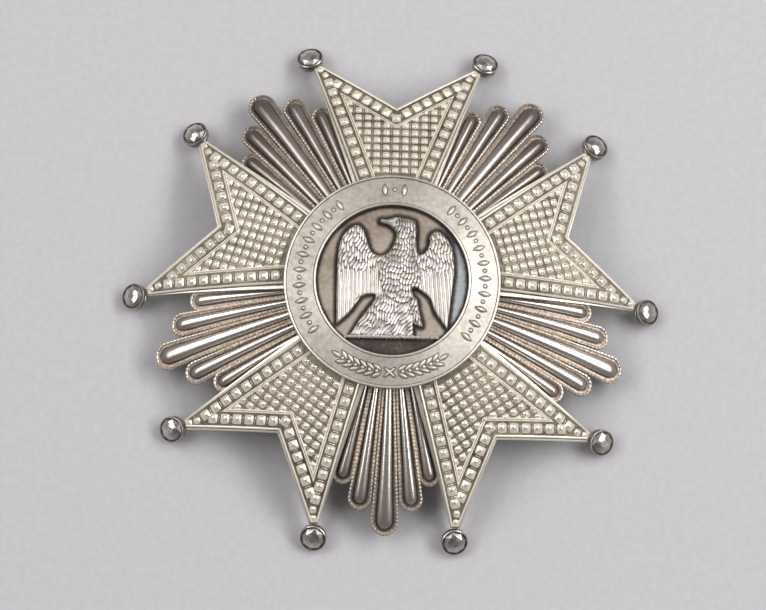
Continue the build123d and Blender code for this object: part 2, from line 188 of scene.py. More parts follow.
def tube(shells, rings, wear_and_shade, grit=0.0, loop=False):
    """Closed shell through rings of points, joined end to end, or capped at both ends."""
    rings = np.asarray(rings, float)
    count, sides = rings.shape[:2]
    ring = np.arange(count if loop else count - 1)[:, None]
    side = np.arange(sides)[None, :]
    start = ring * sides + side
    start_next = ring * sides + (side + 1) % sides
    end = ((ring + 1) % count) * sides + side
    end_next = ((ring + 1) % count) * sides + (side + 1) % sides
    quads = np.stack([start, start_next, end_next, end], axis=-1).reshape(-1, 4)
    points = rings.reshape(-1, 3)
    wear_and_shade = np.broadcast_to(wear_and_shade, (count, sides)).reshape(-1)
    grit = np.broadcast_to(grit, (count, sides)).reshape(-1)
    if loop:
        shells.add(points, wear_and_shade, quads=quads, grit=grit)
        return
    around = np.arange(sides)
    onward = (around + 1) % sides
    first = np.stack([np.full(sides, count * sides), onward, around], axis=-1)
    tail = (count - 1) * sides
    last = np.stack([np.full(sides, count * sides + 1), tail + around, tail + onward], axis=-1)
    points = np.vstack([points, rings[0].mean(0), rings[-1].mean(0)])
    wear_and_shade = np.append(wear_and_shade, [wear_and_shade[:sides].mean(), wear_and_shade[-sides:].mean()])
    grit = np.append(grit, [grit[:sides].mean(), grit[-sides:].mean()])
    shells.add(points, wear_and_shade, quads=quads, triangles=np.vstack([first, last]), grit=grit)


def inset_of(points, outline):
    """How far each flat point lies inside a closed outline, below 0 outside it."""
    start = np.asarray(outline, float)
    run = np.roll(start, -1, axis=0) - start
    offset = points[:, None, :] - start[None]
    share = np.clip((offset * run).sum(-1) / np.maximum((run**2).sum(-1), 1e-12), 0, 1)
    distance = np.linalg.norm(offset - share[..., None] * run, axis=-1).min(1)
    y0 = start[None, :, 1]
    y1 = y0 + run[None, :, 1]
    crosses = (y0 > points[:, 1:2]) != (y1 > points[:, 1:2])
    slope = np.divide(run[None, :, 0], run[None, :, 1], out=np.zeros_like(y0), where=run[None, :, 1] != 0)
    left = points[:, 0:1] < start[None, :, 0] + slope * (points[:, 1:2] - y0)
    inside = (crosses & left).sum(1) % 2 == 1
    return np.where(inside, distance, -distance)


# Spacing of each slab's inner points, and as shares of it, the spacing of their rows and their margin
LATTICE_STEPS = {"arm": 0.8, "bundle": 0.3, "field": 0.28, "eagle": 0.1}
LATTICE_ROWS = 0.87
LATTICE_MARGIN = 0.45


def lattice(outline, slab_name):
    """Flat points on an even lattice that lie inside a slab's outline, a little clear of its edge."""
    step = LATTICE_STEPS[slab_name]
    low = np.min(outline, axis=0)
    high = np.max(outline, axis=0)
    rows = []
    for row, y in enumerate(np.arange(low[1], high[1], step * LATTICE_ROWS)):
        xs = np.arange(low[0] + step * 0.5 * (row % 2), high[0], step)
        rows.append(np.column_stack([xs, np.full(len(xs), y)]))
    points = np.vstack(rows)
    return points[inset_of(points, outline) > LATTICE_MARGIN * step]


def slab(shells, outline, inner, top, bottom, wear_and_shade, grit=None, under=0.0):
    """Closed shell over a flat outline: a surface through inner points, a wall and an underside."""
    flat = [Vector(p) for p in np.vstack([outline, inner])]
    corners, _, faces, *_ = delaunay_2d_cdt(flat, [], [list(range(len(outline)))], 1, 1e-6)
    plan = np.array([tuple(p) for p in corners])
    faces = np.array([tuple(f) for f in faces])
    count = len(plan)
    edges = np.vstack([faces[:, [0, 1]], faces[:, [1, 2]], faces[:, [2, 0]]])
    alone = ~np.isin(edges[:, 0] * count + edges[:, 1], edges[:, 1] * count + edges[:, 0])
    rim = edges[alone]
    walls = np.column_stack([rim[:, 1], rim[:, 0], rim[:, 0] + count, rim[:, 1] + count])
    upper = np.column_stack([plan, top(plan)])
    lower = np.column_stack([plan, bottom(plan)])
    worn = wear_and_shade(plan)
    gritty = grit(plan) if grit else np.zeros(count)
    triangles = np.vstack([faces, faces[:, ::-1] + count])
    shells.add(
        np.vstack([upper, lower]), np.append(worn, np.full(count, under)),
        quads=walls, triangles=triangles, grit=np.append(gritty, np.zeros(count)),
    )


def make_piece(name, shells, material, slot, *nodes, crease=32):
    """Mesh object of these shells, riding on the star, in place of the solids that it stands for."""
    points = np.vstack(shells.points) * MM
    quads = np.vstack(shells.quads) if shells.quads else np.zeros((0, 4), int)
    triangles = np.vstack(shells.triangles) if shells.triangles else np.zeros((0, 3), int)
    mesh = bpy.data.meshes.new(name)
    mesh.vertices.add(len(points))
    mesh.vertices.foreach_set("co", points.ravel())
    mesh.loops.add(quads.size + triangles.size)
    mesh.loops.foreach_set("vertex_index", np.append(quads.ravel(), triangles.ravel()))
    mesh.polygons.add(len(quads) + len(triangles))
    starts = np.append(np.arange(len(quads)) * 4, quads.size + np.arange(len(triangles)) * 3)
    mesh.polygons.foreach_set("loop_start", starts)
    mesh.update(calc_edges=True)
    for label, values in (("wear_and_shade", shells.wear_and_shade), ("grit", shells.grit)):
        attribute = mesh.attributes.new(label, "FLOAT", "POINT")
        attribute.data.foreach_set("value", np.concatenate(values).astype(np.float32))
    tidy = bmesh.new()
    tidy.from_mesh(mesh)
    bmesh.ops.recalc_face_normals(tidy, faces=tidy.faces)
    tidy.to_mesh(mesh)
    tidy.free()
    mesh.shade_smooth()
    mesh.set_sharp_from_angle(angle=radians(crease))
    mesh.materials.append(material)
    piece = bpy.data.objects.new(name, mesh)
    bpy.context.scene.collection.objects.link(piece)
    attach(piece, "root")
    if nodes:
        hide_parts(*nodes)
    return piece


# Camera, from the place of the ten buttons in the picture
PICTURE_WIDTH = 766
CENTRE_PIXEL = (390.85, 295.34)
PICTURE_MIDDLE = (383.0, 305.0)
CAMERA_TILT = 11.11
CAMERA_AZIMUTH = 265.13
STAR_TURN = -1.74
CAMERA_DISTANCE = 667.7
VIEW_WIDTH = 128.1
SENSOR_WIDTH = 36.0


def make_camera():
    """Camera nearly overhead, leaning towards the picture's lower edge."""
    tilt = radians(CAMERA_TILT)
    azimuth = radians(CAMERA_AZIMUTH)
    back = Vector((cos(azimuth) * sin(tilt), sin(azimuth) * sin(tilt), cos(tilt)))
    turn = Vector((0, 0, 1)).rotation_difference(back)
    per_pixel = VIEW_WIDTH / PICTURE_WIDTH
    across = (PICTURE_MIDDLE[0] - CENTRE_PIXEL[0]) * per_pixel
    up = (CENTRE_PIXEL[1] - PICTURE_MIDDLE[1]) * per_pixel
    aim = Vector((0, 0, button_height)) + turn @ Vector((across, up, 0))
    data = bpy.data.cameras.new("camera")
    data.sensor_width = SENSOR_WIDTH
    data.lens = SENSOR_WIDTH * CAMERA_DISTANCE / VIEW_WIDTH
    data.clip_start = 0.01
    camera = bpy.data.objects.new("camera", data)
    bpy.context.scene.collection.objects.link(camera)
    place = Matrix.Translation((aim + back * CAMERA_DISTANCE) * MM) @ turn.to_matrix().to_4x4()
    camera.matrix_world = Matrix.Rotation(radians(-STAR_TURN), 4, "Z") @ place
    bpy.context.scene.camera = camera


# Materials

def add_node(tree, kind, **values):
    """One shader node, with some of its properties or inputs set by name."""
    made = tree.nodes.new(kind)
    for key, value in values.items():
        if key in made.inputs:
            made.inputs[key].default_value = value
        else:
            setattr(made, key, value)
    return made


def ramp_node(tree, factor, stops):
    """Colour ramp over a factor."""
    ramp = tree.nodes.new("ShaderNodeValToRGB")
    elements = ramp.color_ramp.elements
    while len(elements) < len(stops):
        elements.new(0.5)
    for element, (position, colour) in zip(elements, stops):
        element.position = position
        element.color = (*colour, 1)
    tree.links.new(factor, ramp.inputs["Fac"])
    return ramp.outputs["Color"]


def feed(tree, socket, value):
    """Socket given a number, a colour, or what comes from another socket."""
    if isinstance(value, (int, float)):
        socket.default_value = value
    elif isinstance(value, tuple):
        socket.default_value = (*value, 1)
    else:
        tree.links.new(value, socket)


def math_node(tree, operation, first, second, clamp=False):
    """Arithmetic on two values or sockets."""
    made = add_node(tree, "ShaderNodeMath", operation=operation, use_clamp=clamp)
    for socket, value in zip(made.inputs, (first, second)):
        feed(tree, socket, value)
    return made.outputs[0]


# Places of a mix node's colour sockets, which share their names with its other sockets
MIX_COLOURS = (6, 7)
MIX_RESULT = 2


def mix_node(tree, factor, first, second, blend="MIX"):
    """Colour mixed from two colours or sockets by a factor."""
    made = add_node(tree, "ShaderNodeMix", data_type="RGBA", blend_type=blend)
    feed(tree, made.inputs["Factor"], factor)
    for place, value in zip(MIX_COLOURS, (first, second)):
        feed(tree, made.inputs[place], value)
    return made.outputs[MIX_RESULT]


def noise_node(tree, scale, detail=3.0):
    """Noise over the star's own coordinates, about 0.5 on average."""
    coordinates = tree.nodes.new("ShaderNodeTexCoord").outputs["Object"]
    made = add_node(tree, "ShaderNodeTexNoise", Scale=scale, Detail=detail)
    tree.links.new(coordinates, made.inputs["Vector"])
    return made.outputs["Fac"]


def speckle_node(tree, scale, strength):
    """Noise about 0 on average, that reaches about plus and minus a strength."""
    centred = math_node(tree, "SUBTRACT", noise_node(tree, scale), 0.5)
    return math_node(tree, "MULTIPLY", centred, 2 * strength)


def attribute_node(tree, name):
    """Value that each point of the mesh carries."""
    return add_node(tree, "ShaderNodeAttribute", attribute_name=name).outputs["Fac"]


def source_of(shader, name):
    """Socket that feeds one of a shader's inputs."""
    return shader.inputs[name].links[0].from_socket


def new_material(name):
    """Empty material with a principled shader."""
    material = bpy.data.materials.new(name)
    material.use_nodes = True
    tree = material.node_tree
    shader = tree.nodes["Principled BSDF"]
    return material, tree, shader


# Depth of the finest bumps, in metres
BUMP_DEPTH = 0.00006


def metal(
    name, stops, roughness, metallic=(0.75, 1.0), patch=(110, 0.25), fine=(1400, 0.12), bump=(2600, 0.25),
    even=None,
):
    """Worn metal: its colour, gloss and roughness follow its wear and painted shade, broken up by patches of
    tarnish.

    stops are colours from recess to height, and the pairs are values at the recess and the height, or a
    noise's scale and strength. A solid that carries no wear of its own has an even one.
    """
    material, tree, shader = new_material(name)
    wear_and_shade = even or attribute_node(tree, "wear_and_shade")
    speckles = math_node(tree, "ADD", speckle_node(tree, *patch), speckle_node(tree, *fine))
    uneven = math_node(tree, "ADD", wear_and_shade, speckles, clamp=True)
    tree.links.new(ramp_node(tree, uneven, stops), shader.inputs["Base Color"])
    for socket, (low, high) in (("Roughness", roughness), ("Metallic", metallic)):
        spread = add_node(tree, "ShaderNodeMapRange")
        spread.inputs["To Min"].default_value = low
        spread.inputs["To Max"].default_value = high
        tree.links.new(uneven, spread.inputs["Value"])
        tree.links.new(spread.outputs["Result"], shader.inputs[socket])
    relief = add_node(tree, "ShaderNodeBump", Strength=bump[1], Distance=BUMP_DEPTH)
    tree.links.new(noise_node(tree, bump[0], detail=4.0), relief.inputs["Height"])
    tree.links.new(relief.outputs["Normal"], shader.inputs["Normal"])
    return material, tree, shader


# How much less metallic frost and sand are than polished silver, and how rough sand is
FROST_DULLING = 0.75
SAND_DULLING = 0.6
SAND_ROUGHNESS = 0.8


def dull(tree, shader, grit, dulling):
    """Shader made less metallic where there is grit."""
    shine = math_node(tree, "SUBTRACT", 1.0, math_node(tree, "MULTIPLY", grit, dulling))
    duller = math_node(tree, "MULTIPLY", source_of(shader, "Metallic"), shine)
    tree.links.new(duller, shader.inputs["Metallic"])


def make_arm_metal():
    """Silver of the arms: dark in the recesses, and frosted white along the ribs and rims."""
    material, tree, shader = metal(
        "arm_silver",
        [
            (0.0, (0.07, 0.055, 0.04)), (0.25, (0.38, 0.32, 0.24)), (0.5, (0.84, 0.77, 0.65)),
            (1.0, (1.0, 0.945, 0.85)),
        ],
        roughness=(0.65, 0.3), metallic=(0.3, 0.88), fine=(1400, 0.16),
    )
    dull(tree, shader, attribute_node(tree, "grit"), FROST_DULLING)
    return material


arm_metal = make_arm_metal()
button_metal, _, _ = metal(
    "button_steel",
    [
        (0.0, (0.05, 0.042, 0.04)), (0.4, (0.22, 0.19, 0.175)), (0.75, (0.46, 0.42, 0.39)),
        (1.0, (0.68, 0.65, 0.62)),
    ],
    roughness=(0.5, 0.2),
)
band_metal, _, _ = metal(
    "band_silver",
    [
        (0.0, (0.09, 0.072, 0.055)), (0.3, (0.29, 0.255, 0.21)), (0.6, (0.57, 0.525, 0.465)),
        (1.0, (0.93, 0.88, 0.81)),
    ],
    roughness=(0.6, 0.5), metallic=(0.6, 1.0), patch=(170, 0.2), fine=(1300, 0.22), bump=(1500, 0.5),
)
eagle_metal, _, _ = metal(
    "eagle_silver",
    [
        (0.0, (0.06, 0.048, 0.04)), (0.25, (0.28, 0.24, 0.205)), (0.5, (0.64, 0.595, 0.545)),
        (1.0, (0.97, 0.94, 0.90)),
    ],
    roughness=(0.55, 0.3), metallic=(0.6, 0.85), patch=(260, 0.18),
)
back_metal, _, _ = metal(
    "back_silver",
    [(0.0, (0.20, 0.18, 0.16)), (0.5, (0.42, 0.39, 0.36)), (1.0, (0.62, 0.60, 0.57))],
    roughness=(0.5, 0.36), patch=(70, 0.4), even=0.55,
)


def make_ray_metal():
    """Silver of the bundles: polished flutes with sandy, pinkish strips of tarnish between them."""
    material, tree, shader = metal(
        "ray_silver",
        [
            (0.0, (0.035, 0.026, 0.02)), (0.3, (0.21, 0.17, 0.155)), (0.6, (0.55, 0.49, 0.45)),
            (1.0, (0.95, 0.90, 0.84)),
        ],
        roughness=(0.36, 0.23), metallic=(0.6, 1.0), patch=(80, 0.2), fine=(900, 0.06), bump=(700, 0.05),
    )
    grit = attribute_node(tree, "grit")
    sand = ramp_node(
        tree, noise_node(tree, 2300, detail=5.0),
        [(0.3, (0.17, 0.11, 0.07)), (0.5, (0.60, 0.455, 0.32)), (0.7, (1.0, 0.89, 0.72))],
    )
    sandy = mix_node(tree, grit, source_of(shader, "Base Color"), sand)
    tree.links.new(sandy, shader.inputs["Base Color"])
    rough = math_node(tree, "MULTIPLY", grit, SAND_ROUGHNESS)
    rougher = math_node(tree, "MAXIMUM", source_of(shader, "Roughness"), rough)
    tree.links.new(rougher, shader.inputs["Roughness"])
    dull(tree, shader, grit, SAND_DULLING)
    return material


ray_metal = make_ray_metal()
# How far to the right the field begins and ends turning blue, in metres, and what its colour is multiplied by
BLUE_FROM = 0.0065
BLUE_TO = 0.011
BLUE_TINT = (1.0, 1.23, 1.55)


def make_field_metal():
    """Dark oxidised ground behind the eagle: brown, and bluer to the right."""
    material, tree, shader = metal(
        "field_dark",
        [
            (0.0, (0.015, 0.011, 0.010)), (0.45, (0.085, 0.066, 0.056)), (0.8, (0.36, 0.29, 0.235)),
            (1.0, (0.53, 0.445, 0.365)),
        ],
        roughness=(0.5, 0.42), metallic=(0.5, 0.6), patch=(230, 0.32), fine=(1400, 0.2), bump=(1500, 0.4),
    )
    brown = source_of(shader, "Base Color")
    split = tree.nodes.new("ShaderNodeSeparateXYZ")
    tree.links.new(tree.nodes.new("ShaderNodeTexCoord").outputs["Object"], split.inputs["Vector"])
    right = add_node(tree, "ShaderNodeMapRange", interpolation_type="SMOOTHSTEP")
    right.inputs["From Min"].default_value = BLUE_FROM
    right.inputs["From Max"].default_value = BLUE_TO
    tree.links.new(split.outputs["X"], right.inputs["Value"])
    bluish = mix_node(tree, 1.0, brown, BLUE_TINT, blend="MULTIPLY")
    tree.links.new(mix_node(tree, right.outputs["Result"], brown, bluish), shader.inputs["Base Color"])
    return material


field_metal = make_field_metal()


# Arms, made once along +Y: worked out from the angle, the tips and the notch
tip = np.array([lean_radius * sin(radians(ARM_HALF_ANGLE)), lean_radius * cos(radians(ARM_HALF_ANGLE))])
notch_slope = atan2(tip[1] - NOTCH_RADIUS, tip[0])
tip_half_angle = (pi / 2 - radians(ARM_HALF_ANGLE) - notch_slope) / 2
button_cut = BUTTON_RADIUS + GAP


def arm_corners(inset, on_ledge=False):
    """Right-hand corners of the arm's face moved in by an inset, or of its ledge, from the root to the notch.

    The long side ends, and the notch's side begins, where each meets the button.
    """
    half = radians(ARM_HALF_ANGLE - (LEDGE_SPLAY if on_ledge else 0))
    notch_inset = 0 if on_ledge else inset + LEDGE_AT_NOTCH
    along_side = np.array([sin(half), cos(half)])
    side = tip + inset * np.array([-cos(half), sin(half)])
    along_notch = np.array([cos(notch_slope), sin(notch_slope)])
    notch = np.array([0, NOTCH_RADIUS - notch_inset / cos(notch_slope)])
    reach = np.linalg.solve(np.column_stack([along_side, -along_notch]), notch - side)
    corner = side + reach[0] * along_side
    to_root = (ARM_ROOT_RADIUS * cos(radians(ARM_HALF_ANGLE)) - side[1]) / cos(half)
    root = side + to_root * along_side
    if np.linalg.norm(corner - tip) > button_cut:
        return [root, corner, notch]
    side_end = side - sqrt(button_cut**2 - inset**2) * along_side
    foot = notch + ((tip - notch) @ along_notch) * along_notch
    notch_end = foot - sqrt(button_cut**2 - notch_inset**2) * along_notch
    return [root, side_end, notch_end, notch]


# Steps along the arm's long side, round the button and along the notch's side
ARM_LINE_STEPS = (40, 3, 26)


def arm_line(inset, ledge_share=0.0):
    """Points along the arm's outline, from root to root round both tips, some way out to the ledge's edge."""
    corners = arm_corners(inset)
    if ledge_share:
        outer = arm_corners(0, on_ledge=True)
        corners = [a + (b - a) * ledge_share for a, b in zip(corners, outer)]
    steps = ARM_LINE_STEPS if len(corners) == 4 else ARM_LINE_STEPS[::2]
    half = [corners[0]]
    for start, end, count in zip(corners, corners[1:], steps):
        half += [start + (end - start) * i / count for i in range(1, count + 1)]
    half = np.array(half)
    return np.vstack([half, (half * [-1, 1])[-2::-1]])


def arm_sweep(shells, profile, grit=0.0):
    """Shell swept along the arm's outline. A profile row gives inset, share of the ledge, height, and wear
    with painted shade.
    """
    rings = []
    for inset, share, height, _ in profile:
        line = arm_line(inset, share)
        rings.append(np.column_stack([line, dome_height(np.hypot(*line.T), height)]))
    wear_and_shade = np.array([row[3] for row in profile])
    tube(shells, np.stack(rings, axis=1), wear_and_shade[None, :], grit)


RIM_PROFILE = [
    (0.0, 0.0, -0.3, 0.1), (0.0, 0.0, 0.06, 0.5), (0.06, 0.0, 0.22, 0.9), (0.16, 0.0, 0.3, 1.0),
    (0.25, 0.0, 0.26, 0.95), (0.34, 0.0, 0.12, 0.45), (0.38, 0.0, 0.0, 0.05), (0.38, 0.0, -0.3, 0.0),
]
# The ledge is dark just outside the rim: a painted shadow of the rim's step
LEDGE_PROFILE = [
    (0.1, 0.0, -0.9, 0.0), (0.1, 0.0, -0.2, 0.1), (0.0, 0.0, -0.12, 0.15), (0.0, 0.15, -0.36, 0.1),
    (0.0, 0.3, -0.42, 0.5), (0.0, 0.6, -0.42, 0.72), (0.0, 0.9, -0.44, 0.9), (0.0, 1.0, -0.54, 0.8),
    (0.0, 1.0, -0.95, 0.2),
]
RIB_PROFILE = [
    (0.0, 0.0, -0.3, 0.0), (0.0, 0.0, 0.0, 0.1), (0.04, 0.0, 0.18, 0.8), (0.13, 0.0, 0.3, 1.0),
    (0.22, 0.0, 0.2, 0.9), (0.28, 0.0, 0.06, 0.0), (0.34, 0.0, 0.2, 0.9), (0.44, 0.0, 0.36, 1.0),
    (0.54, 0.0, 0.26, 0.9), (0.6, 0.0, 0.0, 0.1), (0.6, 0.0, -0.3, 0.0),
]
RIM_FROST = 0.6
RIB_FROST = 1.0
PLATE_INSET = 0.05
PLATE_WEAR = 0.13
UNDERSIDE_WEAR = 0.42
# How far in from the rib's outer line the small studs, and the bars beside them, are pressed
STUD_INTO_RIB = 0.4
BAR_INTO_RIB = 0.55
# Rings of a stud from its foot to its table: share of its half sizes, share of its height, and wear
STUD_RINGS = [(1.0, 0.0, 0.08), (0.96, 0.16, 0.25), (0.86, 0.32, 0.62), (0.3, 0.92, 0.95), (0.16, 1.0, 1.0)]
BORDER_STUD = {"length": 1.62, "width": 1.7, "height": 0.66, "power": 7}
BORDER_BAR = {"length": 0.2, "width": 1.1, "height": 0.3, "power": 4}
TIP_STUD = {"length": 1.2, "width": 1.15, "height": 0.52, "power": 4}
FIELD_STUD = {"length": 1.22, "width": 1.26, "height": 0.5, "power": 5}
FIELD_BAR = {"length": 1.0, "width": 0.12, "height": 0.16, "power": 4}
BAR_SIDES = 8
FIELD_ROWS = 20
FIELD_COLUMNS = 8


def stud(length, width, height, power, sides=16):
    """Rings and wear of a cut stud: nearly square for a high power, oval for 2, and pointed below that."""
    around = 2 * pi * np.arange(sides) / sides
    reach = (np.abs(np.cos(around)) ** power + np.abs(np.sin(around)) ** power) ** (-1 / power)
    plan = np.column_stack([width / 2 * reach * np.cos(around), length / 2 * reach * np.sin(around)])
    rows = [(1.0, -STUD_SINK / height, 0.0), *STUD_RINGS]
    rings = [np.column_stack([share * plan, np.full(sides, rise * height)]) for share, rise, _ in rows]
    return np.array(rings), np.array([[row[2]] for row in rows])


def set_stud(shells, cut, x, y, turn, surface, least=None):
    """The stud set on a surface at a place, turned anticlockwise in plan by an angle in radians."""
    rings, wear_and_shade = cut
    spin = np.array([[cos(turn), sin(turn)], [-sin(turn), cos(turn)]])
    points = rings.reshape(-1, 3)
    placed = np.column_stack([points[:, :2] @ spin + [x, y], points[:, 2]])
    if least is not None:
        placed = press_inside(placed, least)
    placed[:, 2] = surface(np.hypot(placed[:, 0], placed[:, 1])) + placed[:, 2]
    tube(shells, placed.reshape(rings.shape), wear_and_shade)


def border_places(shift=0.0):
    """Places along the border's two rows on the right-hand half of an arm, with a turn in plan.

    A shift is a share of the pitch: half of it gives the places between the studs.
    """
    inset = (RIM_WIDTH + RIB_INSET) / 2
    half = radians(ARM_HALF_ANGLE)
    notch_inset = inset + LEDGE_AT_NOTCH
    start_y = NOTCH_RADIUS - notch_inset / cos(notch_slope)
    if not shift:
        yield 0.0, start_y, 0.0
    last = lean_radius - inset / tan(tip_half_angle) - BORDER_PITCH * 2 / 3
    for i in range(int((last - STUDS_START) / BORDER_PITCH) + 1):
        along = last - (i + shift) * BORDER_PITCH
        yield along * sin(half) - inset * cos(half), along * cos(half) + inset * sin(half), -half
    run = hypot(tip[0], tip[1] - NOTCH_RADIUS) - notch_inset / tan(tip_half_angle)
    for i in range(1, int(run / BORDER_PITCH) + 1):
        along = (i - shift) * BORDER_PITCH
        yield along * cos(notch_slope), start_y + along * sin(notch_slope), notch_slope + pi / 2


def tip_places():
    """Places of the single row of studs that runs out to the button."""
    middle = radians(ARM_HALF_ANGLE) + tip_half_angle
    for back in TIP_STUDS_BACK:
        yield tip[0] - back * sin(middle), tip[1] - back * cos(middle), -middle


def field_places(shift=0.0):
    """Places of the small studs inside the rib, on an arm's right-hand half, or of what is beside them."""
    for row in range(FIELD_ROWS):
        y = STUDS_START + FIELD_PITCH_ALONG * (row + 0.5)
        for column in range(FIELD_COLUMNS):
            x = (column + shift) * FIELD_PITCH_ACROSS
            side, notch = side_and_notch_insets(np.array([[x, y, 0.0]]))
            if min(side[0], notch[0]) > RIB_INSET:
                yield x, y, 0.0


def side_and_notch_insets(points):
    """How far points lie inside the arm's long side and inside its notch's side, on either half."""
    half = radians(ARM_HALF_ANGLE)
    x = np.abs(points[:, 0])
    side = points[:, 1] * sin(half) - x * cos(half)
    notch = x * sin(notch_slope) - (points[:, 1] - NOTCH_RADIUS) * cos(notch_slope) - LEDGE_AT_NOTCH
    return side, notch


def press_inside(points, least):
    """Points moved in to at least an inset from the arm's edges, so that a stud there is cut by the rib."""
    half = radians(ARM_HALF_ANGLE)
    sign = np.where(points[:, 0] < 0, -1.0, 1.0)
    for _ in range(3):
        side, notch = side_and_notch_insets(points)
        push = np.maximum(least - side, 0)
        points[:, 0] -= sign * push * cos(half)
        points[:, 1] += push * sin(half)
        push = np.maximum(least - notch, 0)
        points[:, 0] += sign * push * sin(notch_slope)
        points[:, 1] -= push * cos(notch_slope)
    return points


def add_studs(shells, cut, places, least=None):
    """Copies of one stud on the dome, on both halves of the arm."""
    for x, y, turn in places:
        set_stud(shells, cut, x, y, turn, dome_height, least)
        if x > GAP:
            set_stud(shells, cut, -x, y, -turn, dome_height, least)


def make_arm():
    """One arm along +Y: plate, ledge, rim, double rib and two sizes of stud."""
    shells = Shells()
    outline = arm_line(PLATE_INSET)
    slab(
        shells, outline, lattice(outline, "arm"),
        top=lambda p: dome_height(np.hypot(*p.T)),
        bottom=lambda p: dome_height(np.hypot(*p.T), -ARM_THICKNESS),
        wear_and_shade=lambda p: np.full(len(p), PLATE_WEAR),
        under=UNDERSIDE_WEAR,
    )
    arm_sweep(shells, LEDGE_PROFILE)
    arm_sweep(shells, RIM_PROFILE, RIM_FROST)
    arm_sweep(shells, [(RIB_INSET + row[0], *row[1:]) for row in RIB_PROFILE], RIB_FROST)
    add_studs(shells, stud(**BORDER_STUD), border_places())
    add_studs(shells, stud(**BORDER_BAR, sides=BAR_SIDES), border_places(shift=0.5))
    add_studs(shells, stud(**TIP_STUD), tip_places())
    add_studs(shells, stud(**FIELD_STUD), field_places(), RIB_INSET + STUD_INTO_RIB)
    add_studs(shells, stud(**FIELD_BAR, sides=BAR_SIDES), field_places(0.5), RIB_INSET + BAR_INTO_RIB)
    return shells


# Ray bundles, made once along +Y
FLUTE_START = 15.0
# One row for each stage of a flute: radius as a share of its length, and share of its full width and height
FLUTE_STAGES = {
    "along": (0.0, 0.35, 0.7, 0.9, 1.0),
    "width": (0.38, 0.58, 0.78, 1.0, 1.0),
    "height": (0.45, 0.7, 0.88, 1.0, 1.0),
    "wear_and_shade": (0.95, 1.0, 0.9, 0.62, 0.4),
}
FLUTE_END_INSET = 0.95
FLUTE_END_POWER = 0.8
FLUTE_FOOT = {"sink": 0.3, "wear_and_shade": 0.12}
FLUTE_STEPS = {"along": 50, "end": 12, "across": 17}
# Shares of the quarter turn between which a flute's round end is drawn
FLUTE_END_ARC = (0.12, 0.985)
# The wires are milled to a depth that is a share of their radius, and drawn in steps of each bead
WIRE_RADIUS = 0.21
WIRE_INSET = 0.21
WIRE_RISE = 0.1
WIRE_MILLING = 0.62
WIRE_MILLING_DEPTH = 0.15
WIRE_START = 17.4
WIRE_SIDES = 7
WIRE_STEPS = 6
# Sand between the flutes: the size and height of its grains, and how far from a flute it is all there
SAND = {"grain": 1 / 2.6, "height": 0.09, "rise": 0.1, "clear": 0.25}
# Two distances from a flute, or two radii for a wire, and the wear or grit at each
# Close to a flute the sand is dark: partly patina, partly painted shade in the groove beside it
SAND_WEAR_AND_SHADE = ((0.16, 0.56), (0.1, 0.4))
SAND_GRIT = ((0.18, 0.48), (0.0, 0.8))
WIRE_GRIT = ((30.0, 34.0), (0.7, 0.35))


def lobe_reach(angle):
    """How far the bundle's edge reaches at an angle from its middle, in degrees."""
    reach = np.where(np.abs(angle) <= RAY_SKIRT_ANGLE, RAY_SKIRT_RADIUS, 0.0)
    for lobe in LOBES:
        centre = lobe["reach"] - lobe["end_radius"]
        turn = np.radians(angle - lobe["angle"])
        swing = lobe["end_radius"] ** 2 - (centre * np.sin(turn)) ** 2
        edge = centre * np.cos(turn) + np.sqrt(np.maximum(swing, 0))
        reach = np.where(swing > 0, np.maximum(reach, edge), reach)
    return reach


def bundle_outline():
    """Flat outline of one bundle: a root, five round-ended lobes and a skirt that runs under the arms."""
    angles = np.linspace(-RAY_SKIRT_ANGLE, RAY_SKIRT_ANGLE, 260)
    outer = lobe_reach(angles)
    turn = np.radians(angles)
    edge = np.column_stack([outer * np.sin(turn), outer * np.cos(turn)])
    root_turn = turn[::-10]
    root = RAY_ROOT_RADIUS * np.column_stack([np.sin(root_turn), np.cos(root_turn)])
    return np.vstack([edge, root])[::-1]


def flute_half_width(lobe, radius):
    """Half width and height of a flute at a radius, with a round end."""
    end = lobe["reach"] - FLUTE_END_INSET
    along = (radius - FLUTE_START) / (end - FLUTE_START)
    width = lobe["flute"] * np.interp(along, FLUTE_STAGES["along"], FLUTE_STAGES["width"])
    height = FLUTE_HEIGHT * np.interp(along, FLUTE_STAGES["along"], FLUTE_STAGES["height"])
    past = np.clip((radius - (end - lobe["flute"])) / lobe["flute"], 0, 1)
    ending = np.sqrt(1 - past**2)
    return width * ending, height * ending**FLUTE_END_POWER


def flute_distance(plan):
    """Distance of flat points from the nearest flute's edge, below 0 on a flute."""
    nearest = np.full(len(plan), 9.0)
    for lobe in LOBES:
        x, y = spun(plan[:, 0], plan[:, 1], lobe["angle"])
        end = lobe["reach"] - FLUTE_END_INSET
        half, _ = flute_half_width(lobe, np.clip(y, FLUTE_START, end - lobe["flute"]))
        beside = np.abs(x) - half
        beyond = np.hypot(x, y - (end - lobe["flute"])) - lobe["flute"]
        nearest = np.minimum(nearest, np.where(y > end - lobe["flute"], beyond, beside))
    return nearest


